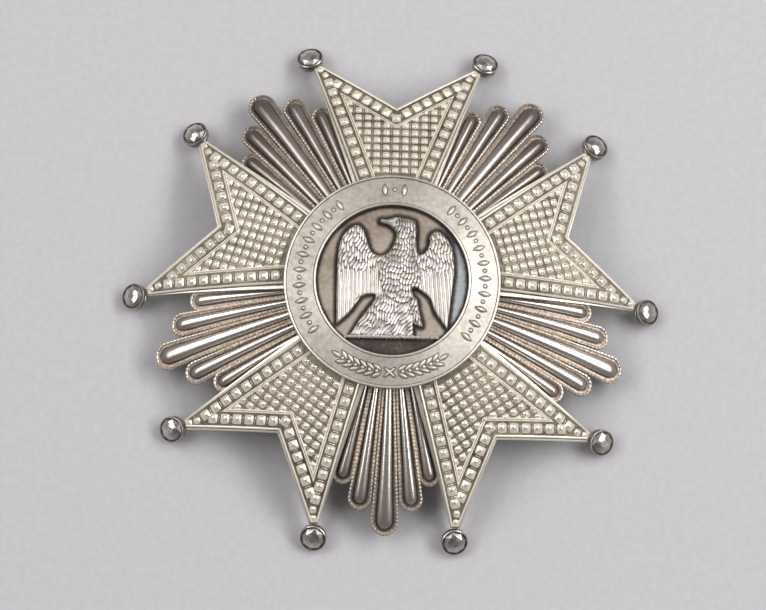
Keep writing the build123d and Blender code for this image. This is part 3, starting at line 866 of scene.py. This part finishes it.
def add_flute(shells, lobe):
    """Polished flute with a half-round section and a round end."""
    end = lobe["reach"] - FLUTE_END_INSET
    straight = np.linspace(FLUTE_START, end - lobe["flute"], FLUTE_STEPS["along"])
    quarter = np.linspace(*FLUTE_END_ARC, FLUTE_STEPS["end"]) * pi / 2
    radii = np.append(straight, end - lobe["flute"] + lobe["flute"] * np.sin(quarter))
    half, height = flute_half_width(lobe, radii)
    crown = np.linspace(0, pi, FLUTE_STEPS["across"])
    across = half[:, None] * np.cos(crown)
    rise = height[:, None] * np.sin(crown)
    across = np.column_stack([across, -half, half])
    rise = np.column_stack([rise, np.full((len(radii), 2), -FLUTE_FOOT["sink"])])
    forward = np.broadcast_to(radii[:, None], across.shape)
    level = ray_height(np.hypot(across, forward), rise - FLUTE_HEIGHT)
    rings = np.stack([*spun(across, forward, -lobe["angle"]), level], axis=-1)
    worn = np.append(at_least(0.5, np.sin(crown)), [0, 0])
    worn[[0, len(crown) - 1]] = FLUTE_FOOT["wear_and_shade"]
    along = (radii - FLUTE_START) / (end - FLUTE_START)
    share = np.interp(along, FLUTE_STAGES["along"], FLUTE_STAGES["wear_and_shade"])
    tube(shells, rings, worn[None, :] * share[:, None])


def polish_round(around):
    """Polish round a tube's section: all of it over most of the upper side, and none below."""
    return np.clip(1.6 * np.sin(around), 0, 1)


def add_wire(shells, lobe):
    """Milled wire round the end of a lobe."""
    ring = lobe["end_radius"] - WIRE_INSET
    centre = lobe["reach"] - lobe["end_radius"]
    flank = asin(lobe["end_radius"] / centre)
    swing = pi / 2 + flank
    length = 2 * swing * ring
    arc = np.linspace(-swing, swing, int(length / WIRE_MILLING * WIRE_STEPS))
    bend = np.column_stack([ring * np.sin(arc), centre + ring * np.cos(arc)])
    tail = np.arange(centre * cos(flank) - WIRE_START, 0, -WIRE_MILLING / WIRE_STEPS)[:, None]
    back = np.array([sin(flank), cos(flank)])
    right = bend[-1] - tail[::-1] * back
    left = bend[0] - tail * back * [-1, 1]
    path = np.vstack([left, bend, right])
    run = np.gradient(path, axis=0)
    run /= np.linalg.norm(run, axis=1)[:, None]
    travelled = np.append(0, np.cumsum(np.linalg.norm(np.diff(path, axis=0), axis=1)))
    milled = np.cos(travelled * 2 * pi / WIRE_MILLING)
    bead = WIRE_RADIUS * (1 + WIRE_MILLING_DEPTH * milled)
    around = 2 * pi * np.arange(WIRE_SIDES) / WIRE_SIDES
    sideways = np.column_stack([-run[:, 1], run[:, 0]])
    plan = path[:, None, :] + sideways[:, None, :] * (bead[:, None] * np.cos(around))[..., None]
    rise = bead[:, None] * np.sin(around) - FLUTE_HEIGHT + WIRE_RISE
    level = ray_height(np.hypot(plan[..., 0], plan[..., 1]), rise)
    rings = np.stack([*spun(plan[..., 0], plan[..., 1], -lobe["angle"]), level], axis=-1)
    crest = (1 + milled[:, None]) / 2
    worn = at_least(0.3, at_least(0.5, crest) * polish_round(around))
    grit = np.interp(np.hypot(*path.T), *WIRE_GRIT)
    tube(shells, rings, worn, grit[:, None])


def make_bundle():
    """One bundle along +Y: a lobed plate with sandy strips, five polished flutes and their milled wires."""
    shells = Shells()
    outline = bundle_outline()

    def top(plan):
        clear = np.clip(flute_distance(plan) / SAND["clear"], 0, 1)
        grains = np.array([noise.noise(Vector((x / SAND["grain"], y / SAND["grain"], 4.0))) for x, y in plan])
        sand = SAND["height"] * grains * clear + SAND["rise"] * (clear - 1)
        return ray_height(np.hypot(*plan.T), sand - FLUTE_HEIGHT)

    slab(
        shells, outline, lattice(outline, "bundle"),
        top=top,
        bottom=lambda p: ray_height(np.hypot(*p.T), -FLUTE_HEIGHT - RAY_THICKNESS),
        # dark beside each flute: partly patina, partly painted shade
        wear_and_shade=lambda p: np.interp(flute_distance(p), *SAND_WEAR_AND_SHADE),
        grit=lambda p: np.interp(flute_distance(p), *SAND_GRIT),
        under=UNDERSIDE_WEAR,
    )
    for lobe in LOBES:
        add_flute(shells, lobe)
        add_wire(shells, lobe)
    return shells


# How far each arm and each bundle is darkened, from the one at the top and on anticlockwise: the top arm's
# darkening is painted shade, the bundles' is partly tarnish and partly painted shade
ARM_PAINTED_SHADE = (0.28, 0.0, 0.0, 0.0, 0.0)
BUNDLE_TARNISH_AND_SHADE = (0.48, 0.0, 0.2, 0.0, 0.42)

arm = make_arm()
bundle = make_bundle()
for number in range(POINTS):
    turned_arm = arm.turned(ARM_TO_ARM * number, ARM_PAINTED_SHADE[number])
    make_piece(f"arm_face_{number + 1}", turned_arm, arm_metal, "arm_silver", f"arm_{number + 1}")
    turned_bundle = bundle.turned(ARM_TO_ARM * (number + 0.5), BUNDLE_TARNISH_AND_SHADE[number])
    make_piece(f"ray_flutes_{number + 1}", turned_bundle, ray_metal, "ray_silver", f"ray_bundle_{number + 1}")

# Band, whose rims are rounded in a few steps
BAND_RIM_STEPS = 6
band_edge_bottom = dome_height(BAND_RADIUS) + BAND_EDGE_LIFT
band_edge_top = band_edge_bottom + BAND_EDGE_THICKNESS
band_top = band_edge_top + BAND_RISE
band_foot = dome_height(BAND_INNER_RADIUS, -ARM_THICKNESS)
field_top = band_top + BAND_RIM_HEIGHT - FIELD_BELOW_RIM


def band_surface(radius):
    """Height of the band's conical face at a radius."""
    inner = BAND_INNER_RADIUS + BAND_RIM_WIDTH
    outer = BAND_RADIUS - BAND_RIM_WIDTH
    return band_top + (band_edge_top - band_top) * (radius - inner) / (outer - inner)


def rounded_rim(start, width, base, height):
    """Profile of a rounded rim from its outer to its inner edge: radius, height and wear."""
    for i in range(BAND_RIM_STEPS + 1):
        angle = pi * i / BAND_RIM_STEPS
        yield start - width / 2 * (1 - cos(angle)), base + height * sin(angle), at_least(0.35, sin(angle))


BAND_SIDES = 288
BAND_FACE_WEAR = 0.62
BAND_GROOVE = {"width": 0.03, "depth": 0.06, "beside": 0.1}
BAND_EDGE_BEVEL = {"width": 0.05, "height": 0.1}
# Low ornaments on the band's face: plain lozenges and beads, and leaves of laurel
LOZENGE = {"length": 2.0, "width": 0.8, "height": 0.24, "power": 1.4}
BEAD = {"length": 0.55, "width": 0.55, "height": 0.16, "power": 2}
LEAF = {"length": 1.75, "width": 0.62, "height": 0.24, "power": 1.5}
RIBBON = {"length": 2.3, "width": 0.42, "height": 0.2, "power": 3}
RIBBON_LEAN = 50
ORNAMENT_RADIUS = 15.3
ORNAMENT_PITCH = 9.4
ORNAMENT_ARCS = [(126.0, 214.0), (84.0, 96.0), (-36.0, 52.0)]
ORNAMENT_FOOT = {"margin": 0.3, "height": 0.03, "wear_and_shade": 0.15}
SPRAY_START = 8.0
SPRAY_PITCH = 4.5
SPRAY_PAIRS = 6
LEAF_LEAN = 30.0
LEAF_SPREAD = 0.62


def set_ornament(shells, size, angle, radius=ORNAMENT_RADIUS, turn=0.0):
    """Ornament on the band at an angle, its length along the radius unless it is turned, over a dark foot."""
    x = radius * cos(radians(angle))
    y = radius * sin(radians(angle))
    margin = ORNAMENT_FOOT["margin"]
    rings, _ = stud(size["length"] + margin, size["width"] + margin, ORNAMENT_FOOT["height"], size["power"])
    foot = rings, np.full((len(rings), 1), ORNAMENT_FOOT["wear_and_shade"])
    for cut in (foot, stud(**size)):
        set_stud(shells, cut, x, y, radians(angle - 90 + turn), band_surface)


def add_ornaments(shells):
    """Rows of lozenges and beads, and two sprays of laurel tied at the bottom."""
    for start, end in ORNAMENT_ARCS:
        steps = round((end - start) / ORNAMENT_PITCH)
        for i in range(2 * steps + 1):
            set_ornament(shells, BEAD if i % 2 else LOZENGE, start + (end - start) * i / (2 * steps))
    for side in (1, -1):
        for i in range(SPRAY_PAIRS):
            angle = -90 + side * (SPRAY_START + i * SPRAY_PITCH)
            for lean in (LEAF_LEAN, -LEAF_LEAN):
                radius = ORNAMENT_RADIUS + LEAF_SPREAD * lean / LEAF_LEAN
                set_ornament(shells, LEAF, angle, radius, turn=side * (90 - lean))
            set_ornament(shells, BEAD, angle)
        set_ornament(shells, LEAF, -90 + side * (SPRAY_START + SPRAY_PAIRS * SPRAY_PITCH), turn=90)
        set_ornament(shells, RIBBON, -90, turn=side * RIBBON_LEAN)
    set_ornament(shells, BEAD, -90)


# Side of the band painted brighter as a painted highlight, with the far side painted darker, and by how much
BAND_PAINTED_SHEEN = {"azimuth": -55, "share": 0.14}


def make_band():
    """Revolved ring: a conical face, two rounded rims with a fine groove beside each, and the ornaments."""
    inner = BAND_INNER_RADIUS
    outer = BAND_RADIUS
    rim = BAND_RIM_WIDTH
    groove = BAND_GROOVE
    face = np.linspace(outer - rim - groove["beside"], inner + rim + groove["beside"], 12)
    rows = [
        (inner, band_foot, 0.0), (inner + BAND_FOOT_WIDTH, band_foot, 0.0),
        (inner + BAND_FOOT_WIDTH, band_top - BAND_EDGE_THICKNESS, 0.1),
        (outer - BAND_EDGE_BEVEL["width"], band_edge_bottom, 0.2),
        (outer, band_edge_bottom + BAND_EDGE_BEVEL["height"], 0.5),
        *rounded_rim(outer, rim, band_edge_top, BAND_RIM_HEIGHT),
        (outer - rim - groove["width"], band_edge_top - groove["depth"], 0.0),
        *((radius, band_surface(radius), BAND_FACE_WEAR) for radius in face),
        (inner + rim + groove["width"], band_top - groove["depth"], 0.0),
        *rounded_rim(inner + rim, rim, band_top, BAND_RIM_HEIGHT),
    ]
    angles = 2 * pi * np.arange(BAND_SIDES) / BAND_SIDES
    radius, height, worn = np.array(rows).T
    level = np.tile(height, (BAND_SIDES, 1))
    rings = np.stack([np.outer(np.cos(angles), radius), np.outer(np.sin(angles), radius), level], axis=-1)
    shells = Shells()
    # painted highlight: the band made brighter towards one side and darker towards the other
    painted_sheen = 1 + BAND_PAINTED_SHEEN["share"] * np.cos(angles - radians(BAND_PAINTED_SHEEN["azimuth"]))
    tube(shells, rings, np.clip(worn[None, :] * painted_sheen[:, None], 0, 1), loop=True)
    add_ornaments(shells)
    return shells


make_piece("band", make_band(), band_metal, "band_silver", "medallion_band")

# Eagle, in the star's own frame: its outline, smooth but for the corners given twice
EAGLE_GROUND = field_top + GAP
EAGLE_OUTLINE = [
    (-2.3, 9.75), (-2.3, 9.75), (-2.05, 10.2), (-1.3, 10.15), (-0.4, 10.35), (0.4, 10.65), (1.6, 10.55),
    (3.5, 10.15), (3.5, 10.15), (3.75, 8.8), (3.75, 6.6), (4.0, 4.9), (4.5, 4.5), (5.3, 5.0),
    (5.95, 6.2), (5.95, 7.4), (6.5, 8.2), (7.2, 8.5), (8.2, 7.9), (9.2, 6.8), (9.9, 4.9),
    (10.15, 1.6), (9.8, -2.2), (9.5, -5.6), (9.25, -8.0), (9.25, -8.0), (8.1, -6.5), (7.1, -5.0),
    (6.3, -3.0), (5.2, -2.0), (3.8, -1.2), (3.3, -1.6), (3.6, -2.5), (4.25, -3.2), (4.55, -5.0),
    (5.1, -7.0), (5.1, -7.6), (4.2, -7.5), (3.6, -7.1), (3.6, -7.1), (3.7, -9.3), (3.7, -9.3),
    (-1.2, -9.35), (-6.7, -9.3), (-6.7, -9.3), (-5.9, -7.9), (-4.6, -5.8), (-3.2, -3.9), (-2.7, -2.9),
    (-3.1, -2.45), (-4.7, -2.75), (-5.7, -3.9), (-6.9, -5.6), (-8.95, -7.6), (-8.95, -7.6), (-9.1, -2.2),
    (-9.05, 3.8), (-8.6, 6.6), (-7.4, 8.4), (-6.0, 9.05), (-4.9, 8.3), (-4.35, 6.7), (-3.6, 4.8),
    (-2.2, 4.1), (-0.9, 4.7), (0.0, 6.0), (0.45, 7.6), (-0.2, 8.8), (-1.0, 9.35), (-1.7, 9.5),
]
# Rounded masses of the relief, which run into each other, some with feathers of their own
EAGLE_MASSES = [
    {"at": (-1.6, -5.0), "half": (1.9, 3.3), "height": 1.15, "turn": -28, "feathers": "thigh"},
    {"at": (4.0, -4.6), "half": (0.8, 2.9), "height": 0.95, "turn": 14, "feathers": "thigh"},
    {"at": (1.2, 0.7), "half": (3.1, 4.3), "height": 1.55, "turn": 8, "feathers": "body"},
    {"at": (1.8, 6.0), "half": (1.4, 4.0), "height": 1.3, "turn": 3, "feathers": "body"},
    {"at": (1.9, 9.2), "half": (1.7, 1.2), "height": 1.15, "turn": 0, "feathers": "body"},
    {"at": (-6.3, 4.5), "half": (2.4, 5.0), "height": 0.8, "turn": -6, "feathers": None},
    {"at": (7.2, 4.5), "half": (2.3, 4.6), "height": 0.8, "turn": 6, "feathers": None},
]
# Sets of feathers: where they lie, which way they point from straight down, and the width and length of each
FEATHER_SETS = {
    "left wing": {"lean": -13, "width": 0.5, "length": 1.7},
    "right wing": {"lean": 5, "width": 0.5, "length": 1.6},
    "body": {"lean": -9, "width": 0.52, "length": 1.0},
    "tail": {"lean": -36, "width": 0.52, "length": 2.3},
    "thigh": {"lean": -12, "width": 0.5, "length": 1.4},
}
# Short feathers lie in columns that sway, and narrow over the last part of their length
FEATHER_RISE = 0.32
FEATHER_SWAY = {"by": 0.16, "along": 1.9, "across": 0.8}
FEATHER_TAPER = {"from": 0.7, "over": 0.31}
# Long feathers hang in the lower half of each wing, from a ragged line
QUILL_WIDTH = 0.66
QUILL_SHARE = 0.59
QUILL_TOP = {"y": -2.0, "ragged": 0.9}
WING_SPLIT = 0.8
WING_AXES = {"left": {"x": -6.0, "y": 3.0, "lean": 1}, "right": {"x": 7.4, "y": 3.0, "lean": 6}}
WING_HEIGHT = 0.55
TAIL = {"top": -2.4, "foot": -9.0, "middle": -1.2, "half_foot": 5.6, "taper": 0.15, "height": 0.5}
TAIL_POLISH = 1.15
BEAK = {"right": 0.3, "bottom": 8.9, "relief": 0.95, "height": 0.9, "edge": 0.7}
EYE = {"x": 1.0, "y": 9.55, "radius": 0.12, "depth": 0.15, "dark": 0.5}
# How sharply a mass ends, at what share of its height its own feathers begin, and the dark seam round them
MASS_POWER = 1.6
MASS_EDGE = 0.3
SEAM_WIDTH = 0.07
# How far in from the outline the relief rounds over
EAGLE_EDGE = 0.38
# The bar's half width swells and thins, in short and in long waves, along its length
BAR = {"start": (-7.6, -9.62), "end": (7.9, -9.42), "steps": 150, "sides": 8, "rise": 0.42}
BAR_LUMPS = {"half_width": 0.28, "swell": 0.09, "short": 131, "long": 43, "steepness": 1.9}
# Points on the outline's curve from one given point to the next
CURVE_STEPS = 5


def smooth_closed(points):
    """Closed curve through the points, with a corner wherever a point is given twice."""
    points = np.asarray(points, float)
    before, start, end, after = (np.roll(points, shift, axis=0)[:, None, :] for shift in (1, 0, -1, -2))
    t = (np.arange(CURVE_STEPS) / CURVE_STEPS)[None, :, None]
    curve = 0.5 * (
        2 * start + (end - before) * t + (2 * before - 5 * start + 4 * end - after) * t**2
        + (3 * start - before - 3 * end + after) * t**3
    )
    keep = np.linalg.norm(end - start, axis=-1) > 1e-6
    return curve[keep[:, 0]].reshape(-1, 2)


def chance(first, second=0.0):
    """Even but irregular number from 0 to 1 for each pair of whole numbers."""
    return np.mod(np.sin(first * 12.9898 + second * 78.233) * 43758.5453, 1.0)


def feathers(x, y, lean, width, length):
    """Relief of slim feathers that point down, each in a column of its own, from 0 to about 1."""
    x, y = spun(x, y, -lean)
    x = x + FEATHER_SWAY["by"] * np.sin(FEATHER_SWAY["along"] * y + FEATHER_SWAY["across"] * x)
    column = np.round(x / width)
    across = 2 * np.abs(x / width - column)
    onward = -y / length + chance(column)
    row = np.floor(onward)
    along = onward - row
    narrowing = np.clip(along - FEATHER_TAPER["from"], 0, 1) / FEATHER_TAPER["over"]
    taper = np.sqrt(1 - narrowing**2)
    back = np.sqrt(np.clip(1 - (across / taper) ** 2, 0, 1))
    return at_least(0.55, chance(column, row)) * back * at_least(0.35, along)


def quills(x, width):
    """Relief of long parallel feathers, each with a rounded back."""
    column = np.round(x / width)
    across = 2 * np.abs(x / width - column)
    return QUILL_SHARE * at_least(0.8, chance(column)) * np.sqrt(np.clip(1 - across**2, 0, 1))


def eagle_relief(plan, inset):
    """Height of the eagle over its ground, and its wear, at flat points and their insets from the outline."""
    x, y = plan.T
    wings = []
    for side, axes in WING_AXES.items():
        wing_x, wing_y = spun(x - axes["x"], y - axes["y"], -axes["lean"])
        ragged = QUILL_TOP["y"] + QUILL_TOP["ragged"] * chance(np.round(wing_x / QUILL_WIDTH), 3.0)
        short = feathers(x, y, **FEATHER_SETS[side + " wing"])
        wings.append(np.where(wing_y > ragged, short, quills(wing_x, QUILL_WIDTH)))
    relief = np.where(x < WING_SPLIT, *wings)
    half_tail = TAIL["half_foot"] - TAIL["taper"] * (y - TAIL["foot"])
    tail = (y < TAIL["top"]) & (np.abs(x - TAIL["middle"]) < half_tail)
    relief = np.where(tail, feathers(x, y, **FEATHER_SETS["tail"]), relief)
    height = np.where(tail, TAIL["height"], WING_HEIGHT)
    shares = {}
    for mass in EAGLE_MASSES:
        mx, my = spun(x - mass["at"][0], y - mass["at"][1], -mass["turn"])
        share = np.exp(-((mx / mass["half"][0]) ** 2 + (my / mass["half"][1]) ** 2) ** MASS_POWER)
        height = np.hypot(height, mass["height"] * share)
        if mass["feathers"]:
            shares[mass["feathers"]] = np.maximum(shares.get(mass["feathers"], 0), share)
    for feather_set in ("thigh", "body"):
        own = feathers(x, y, **FEATHER_SETS[feather_set])
        relief = np.where(shares[feather_set] > MASS_EDGE, own, relief)
    seam = np.clip(np.abs(shares["body"] - MASS_EDGE) / SEAM_WIDTH, 0, 1)
    beak = (x < BEAK["right"]) & (y > BEAK["bottom"])
    relief = np.where(beak, BEAK["relief"], relief)
    height = np.where(beak, BEAK["height"], height)
    eye = np.exp(-((x - EYE["x"]) ** 2 + (y - EYE["y"]) ** 2) / EYE["radius"] ** 2)
    edge = np.clip(inset / np.where(beak, BEAK["edge"], EAGLE_EDGE), 0, 1)
    rounding = np.sqrt(1 - (1 - edge) ** 2)
    total = (height + FEATHER_RISE * (relief - 0.5)) * at_least(0.3, rounding) - EYE["depth"] * eye
    worn = (0.02 + 1.15 * relief) * at_least(0.35, seam) * at_least(0.45, np.sqrt(edge)) - EYE["dark"] * eye
    return total, np.clip(worn * np.where(tail, TAIL_POLISH, 1), 0, 1)


def make_eagle():
    """Shells and outline of the eagle with spread wings, cast in relief, over a thin uneven bar."""
    shells = Shells()
    outline = smooth_closed(EAGLE_OUTLINE)
    slab(
        shells, outline, lattice(outline, "eagle"),
        top=lambda p: EAGLE_GROUND + eagle_relief(p, np.maximum(inset_of(p, outline), 0))[0],
        bottom=lambda p: np.full(len(p), EAGLE_GROUND),
        wear_and_shade=lambda p: eagle_relief(p, np.maximum(inset_of(p, outline), 0))[1],
    )
    share = np.linspace(0, 1, BAR["steps"])[:, None]
    path = np.array(BAR["start"]) + np.subtract(BAR["end"], BAR["start"]) * share
    around = 2 * pi * np.arange(BAR["sides"]) / BAR["sides"]
    swell = np.sin(share * BAR_LUMPS["short"]) * (0.6 + 0.4 * np.sin(share * BAR_LUMPS["long"] + 1))
    lumps = BAR_LUMPS["half_width"] + BAR_LUMPS["swell"] * swell
    rise = np.clip(BAR_LUMPS["steepness"] * lumps * np.sin(around), -BAR["rise"], 1)
    rings = np.stack([
        np.broadcast_to(path[:, :1], (BAR["steps"], BAR["sides"])),
        path[:, 1:] + lumps * np.cos(around),
        EAGLE_GROUND + BAR["rise"] + rise,
    ], axis=-1)
    tube(shells, rings, at_least(0.75, polish_round(around))[None, :])
    return shells, outline


# The field is darkened near the eagle and the band as painted shade, and is dark below the bar, and a little
# darker towards the top
FIELD_SIDES = 180
FIELD_SHADE_MARGINS = {"eagle": 0.8, "band": 0.6}
FIELD_WEAR_AND_SHADE = {"least": 0.1, "less_at_top": 0.16, "below_bar": 0.42}
FIELD_TOP_FADE = (-2.0, 10.0)
FIELD_BAR_FADE = (-9.9, -9.4)


def make_field(eagle_outline):
    """Round ground of the medallion, with its darker parts and painted shade round the eagle and inside the
    band.
    """
    shells = Shells()
    turn = 2 * pi * np.arange(FIELD_SIDES) / FIELD_SIDES
    outline = FIELD_RADIUS * np.column_stack([np.cos(turn), np.sin(turn)])

    def wear_and_shade(plan):
        # painted shade: darker within a margin of the eagle's outline and of the band
        clear = np.clip(-inset_of(plan, eagle_outline) / FIELD_SHADE_MARGINS["eagle"], 0, 1)
        rim = np.clip((FIELD_RADIUS - np.hypot(*plan.T)) / FIELD_SHADE_MARGINS["band"], 0, 1)
        upward = np.interp(plan[:, 1], FIELD_TOP_FADE, (0, 1))
        above_bar = np.interp(plan[:, 1], FIELD_BAR_FADE, (0, 1))
        most = 1 - FIELD_WEAR_AND_SHADE["least"] - FIELD_WEAR_AND_SHADE["less_at_top"] * upward
        return (FIELD_WEAR_AND_SHADE["least"] + most * clear**1.3 * rim) * at_least(FIELD_WEAR_AND_SHADE["below_bar"], above_bar)

    slab(
        shells, outline, lattice(outline, "field"),
        top=lambda p: np.full(len(p), field_top),
        bottom=lambda p: dome_height(np.hypot(*p.T), -ARM_THICKNESS),
        wear_and_shade=wear_and_shade,
    )
    return shells


eagle_shells, eagle_outline = make_eagle()
make_piece("eagle_relief", eagle_shells, eagle_metal, "eagle_silver", "eagle")
make_piece("field_ground", make_field(eagle_outline), field_metal, "field_dark", "medallion_field")


# Tip buttons, made once upright: radius, height and wear up the turned collet and bezel
BUTTON_PROFILE = [
    (1.95, -0.85, 0.2), (2.06, -0.8, 0.5), (2.12, -0.68, 0.7), (2.12, -0.28, 0.6), (2.04, -0.13, 0.5),
    (1.86, -0.08, 0.05), (1.84, 0.06, 0.0), (2.05, 0.12, 0.2), (2.2, 0.19, 0.45), (2.25, 0.33, 0.6),
    (2.21, 0.47, 0.85), (2.11, 0.56, 0.75), (2.0, 0.57, 0.3), (1.95, 0.5, 0.0),
]
CROWN_TIERS = [
    {"radius": 1.95, "height": 0.5, "turn": 0.0, "wear_and_shade": 0.15},
    {"radius": 1.86, "height": 0.62, "turn": 0.0, "wear_and_shade": 0.5},
    {"radius": 1.3, "height": 0.99, "turn": 0.5, "wear_and_shade": 0.9},
    {"radius": 0.62, "height": 1.19, "turn": 0.0, "wear_and_shade": 1.0},
]
CROWN_SIDES = 8
CROWN_SINK = 0.2
BUTTON_SIDES = 48
BUTTON_CREASE = 9


def level_ring(radius, height, sides, turn=0.0):
    """Ring of points round the upright axis, turned by a share of one side."""
    angles = 2 * pi / sides * (np.arange(sides) + turn)
    return np.column_stack([radius * np.cos(angles), radius * np.sin(angles), np.full(sides, height)])


def make_button():
    """Button, upright: a turned collet and bezel round a crown of flat facets."""
    shells = Shells()
    rings = [level_ring(radius, height, BUTTON_SIDES) for radius, height, _ in BUTTON_PROFILE]
    tube(shells, rings, np.array([[row[2]] for row in BUTTON_PROFILE]))
    corners = [level_ring(tier["radius"], tier["height"], CROWN_SIDES, tier["turn"]) for tier in CROWN_TIERS]
    corners = np.vstack(corners)
    worn = np.repeat([tier["wear_and_shade"] for tier in CROWN_TIERS], CROWN_SIDES)
    triangles = []
    for i in range(CROWN_SIDES):
        after = (i + 1) % CROWN_SIDES
        base, girdle, middle, table = (k * CROWN_SIDES for k in range(4))
        triangles += [(base + i, base + after, girdle + after), (base + i, girdle + after, girdle + i)]
        triangles += [(girdle + i, girdle + after, middle + i), (girdle + after, middle + after, middle + i)]
        triangles += [(middle + i, table + after, table + i), (middle + i, middle + after, table + after)]
        triangles += [(table + i, table + after, len(corners)), (base + after, base + i, len(corners) + 1)]
    middles = [[0, 0, CROWN_TIERS[-1]["height"]], [0, 0, CROWN_TIERS[0]["height"] - CROWN_SINK]]
    shells.add(np.vstack([corners, middles]), np.append(worn, [1.0, 0.0]), triangles=triangles)
    return shells


def placed_button(shells, x, y):
    """The button moved to a tip, leaning outward with the dome."""
    normal = np.array([x, y, button_height - dome_centre])
    normal /= np.linalg.norm(normal)
    across = np.array([-y, x, 0]) / hypot(x, y)
    axes = np.column_stack([across, np.cross(normal, across), normal])
    return shells.moved(axes, [x, y, button_height])


button = make_button()
for number in range(POINTS):
    for side, sign in enumerate((1, -1)):
        label = f"{2 * number + side + 1:02d}"
        placed = placed_button(button, sign * tip[0], tip[1]).turned(ARM_TO_ARM * number)
        make_piece(
            f"cut_button_{label}", placed, button_metal, "button_steel", f"tip_button_{label}",
            crease=BUTTON_CREASE,
        )

for name in ("back_disc", "brooch_pin"):
    for material_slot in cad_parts[name].material_slots:
        material_slot.material = back_metal


# Floor and light
FLOOR_COLOUR = (0.55, 0.536, 0.555)
FLOOR_HALF = 0.75
FLOOR_SPECKLE = 0.03


def make_floor():
    """Plain pale floor under the star."""
    mesh = bpy.data.meshes.new("floor")
    corners = [(FLOOR_HALF * x, FLOOR_HALF * y, 0) for x, y in ((-1, -1), (1, -1), (1, 1), (-1, 1))]
    mesh.from_pydata(corners, [], [(0, 1, 2, 3)])
    material, tree, shader = new_material("floor_paper")
    darker = tuple((1 - FLOOR_SPECKLE) * c for c in FLOOR_COLOUR)
    lighter = tuple((1 + FLOOR_SPECKLE) * c for c in FLOOR_COLOUR)
    speckle = ramp_node(tree, noise_node(tree, 900), [(0.35, darker), (0.65, lighter)])
    tree.links.new(speckle, shader.inputs["Base Color"])
    shader.inputs["Roughness"].default_value = 0.9
    shader.inputs["Specular IOR Level"].default_value = 0.2
    mesh.materials.append(material)
    floor = bpy.data.objects.new("floor", mesh)
    bpy.context.scene.collection.objects.link(floor)
    floor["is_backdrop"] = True


# How bright the room is at each height, from the horizon up to straight overhead
ROOM_LEVELS = [(0.0, 0.4), (0.3, 0.28), (0.62, 0.13), (0.85, 0.1), (0.95, 0.13)]
LIGHTS = [
    {"name": "right", "azimuth": 12, "elevation": 44, "away": 0.9, "size": (0.95, 0.22), "power": 6.0},
    {"name": "left", "azimuth": 168, "elevation": 44, "away": 0.9, "size": (0.95, 0.22), "power": 3.3},
    {"name": "upper_right", "azimuth": 18, "elevation": 61, "away": 0.9, "size": (0.7, 0.22), "power": 0.95},
    {"name": "upper_left", "azimuth": 162, "elevation": 61, "away": 0.9, "size": (0.7, 0.22), "power": 1.1},
    {"name": "back", "azimuth": 95, "elevation": 58, "away": 1.1, "size": (0.7, 0.3), "power": 0.8},
]


def make_lights():
    """Soft lights at both sides, low and high, and a weak one at the back, in a room dimmer overhead."""
    for row in LIGHTS:
        azimuth = radians(row["azimuth"])
        elevation = radians(row["elevation"])
        towards = Vector((cos(azimuth) * cos(elevation), sin(azimuth) * cos(elevation), sin(elevation)))
        data = bpy.data.lights.new(row["name"], "AREA")
        data.shape = "RECTANGLE"
        data.size, data.size_y = row["size"]
        data.energy = row["power"]
        light = bpy.data.objects.new(row["name"], data)
        light.location = towards * row["away"]
        light.rotation_euler = towards.to_track_quat("Z", "Y").to_euler()
        light.visible_camera = False
        bpy.context.scene.collection.objects.link(light)
    world = bpy.data.worlds.new("room")
    world.use_nodes = True
    bpy.context.scene.world = world
    tree = world.node_tree
    split = tree.nodes.new("ShaderNodeSeparateXYZ")
    tree.links.new(tree.nodes.new("ShaderNodeTexCoord").outputs["Generated"], split.inputs["Vector"])
    upward = ramp_node(tree, split.outputs["Z"], [(z, (level, level, level)) for z, level in ROOM_LEVELS])
    tree.links.new(upward, tree.nodes["Background"].inputs["Color"])
    tree.nodes["Background"].inputs["Strength"].default_value = 1.0
    bpy.context.scene.view_settings.view_transform = "Standard"


make_floor()
make_lights()
make_camera()

boxes = {"cad": cad_box, "visual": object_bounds()}
{name: [list(corner) for corner in box] for name, box in boxes.items()}
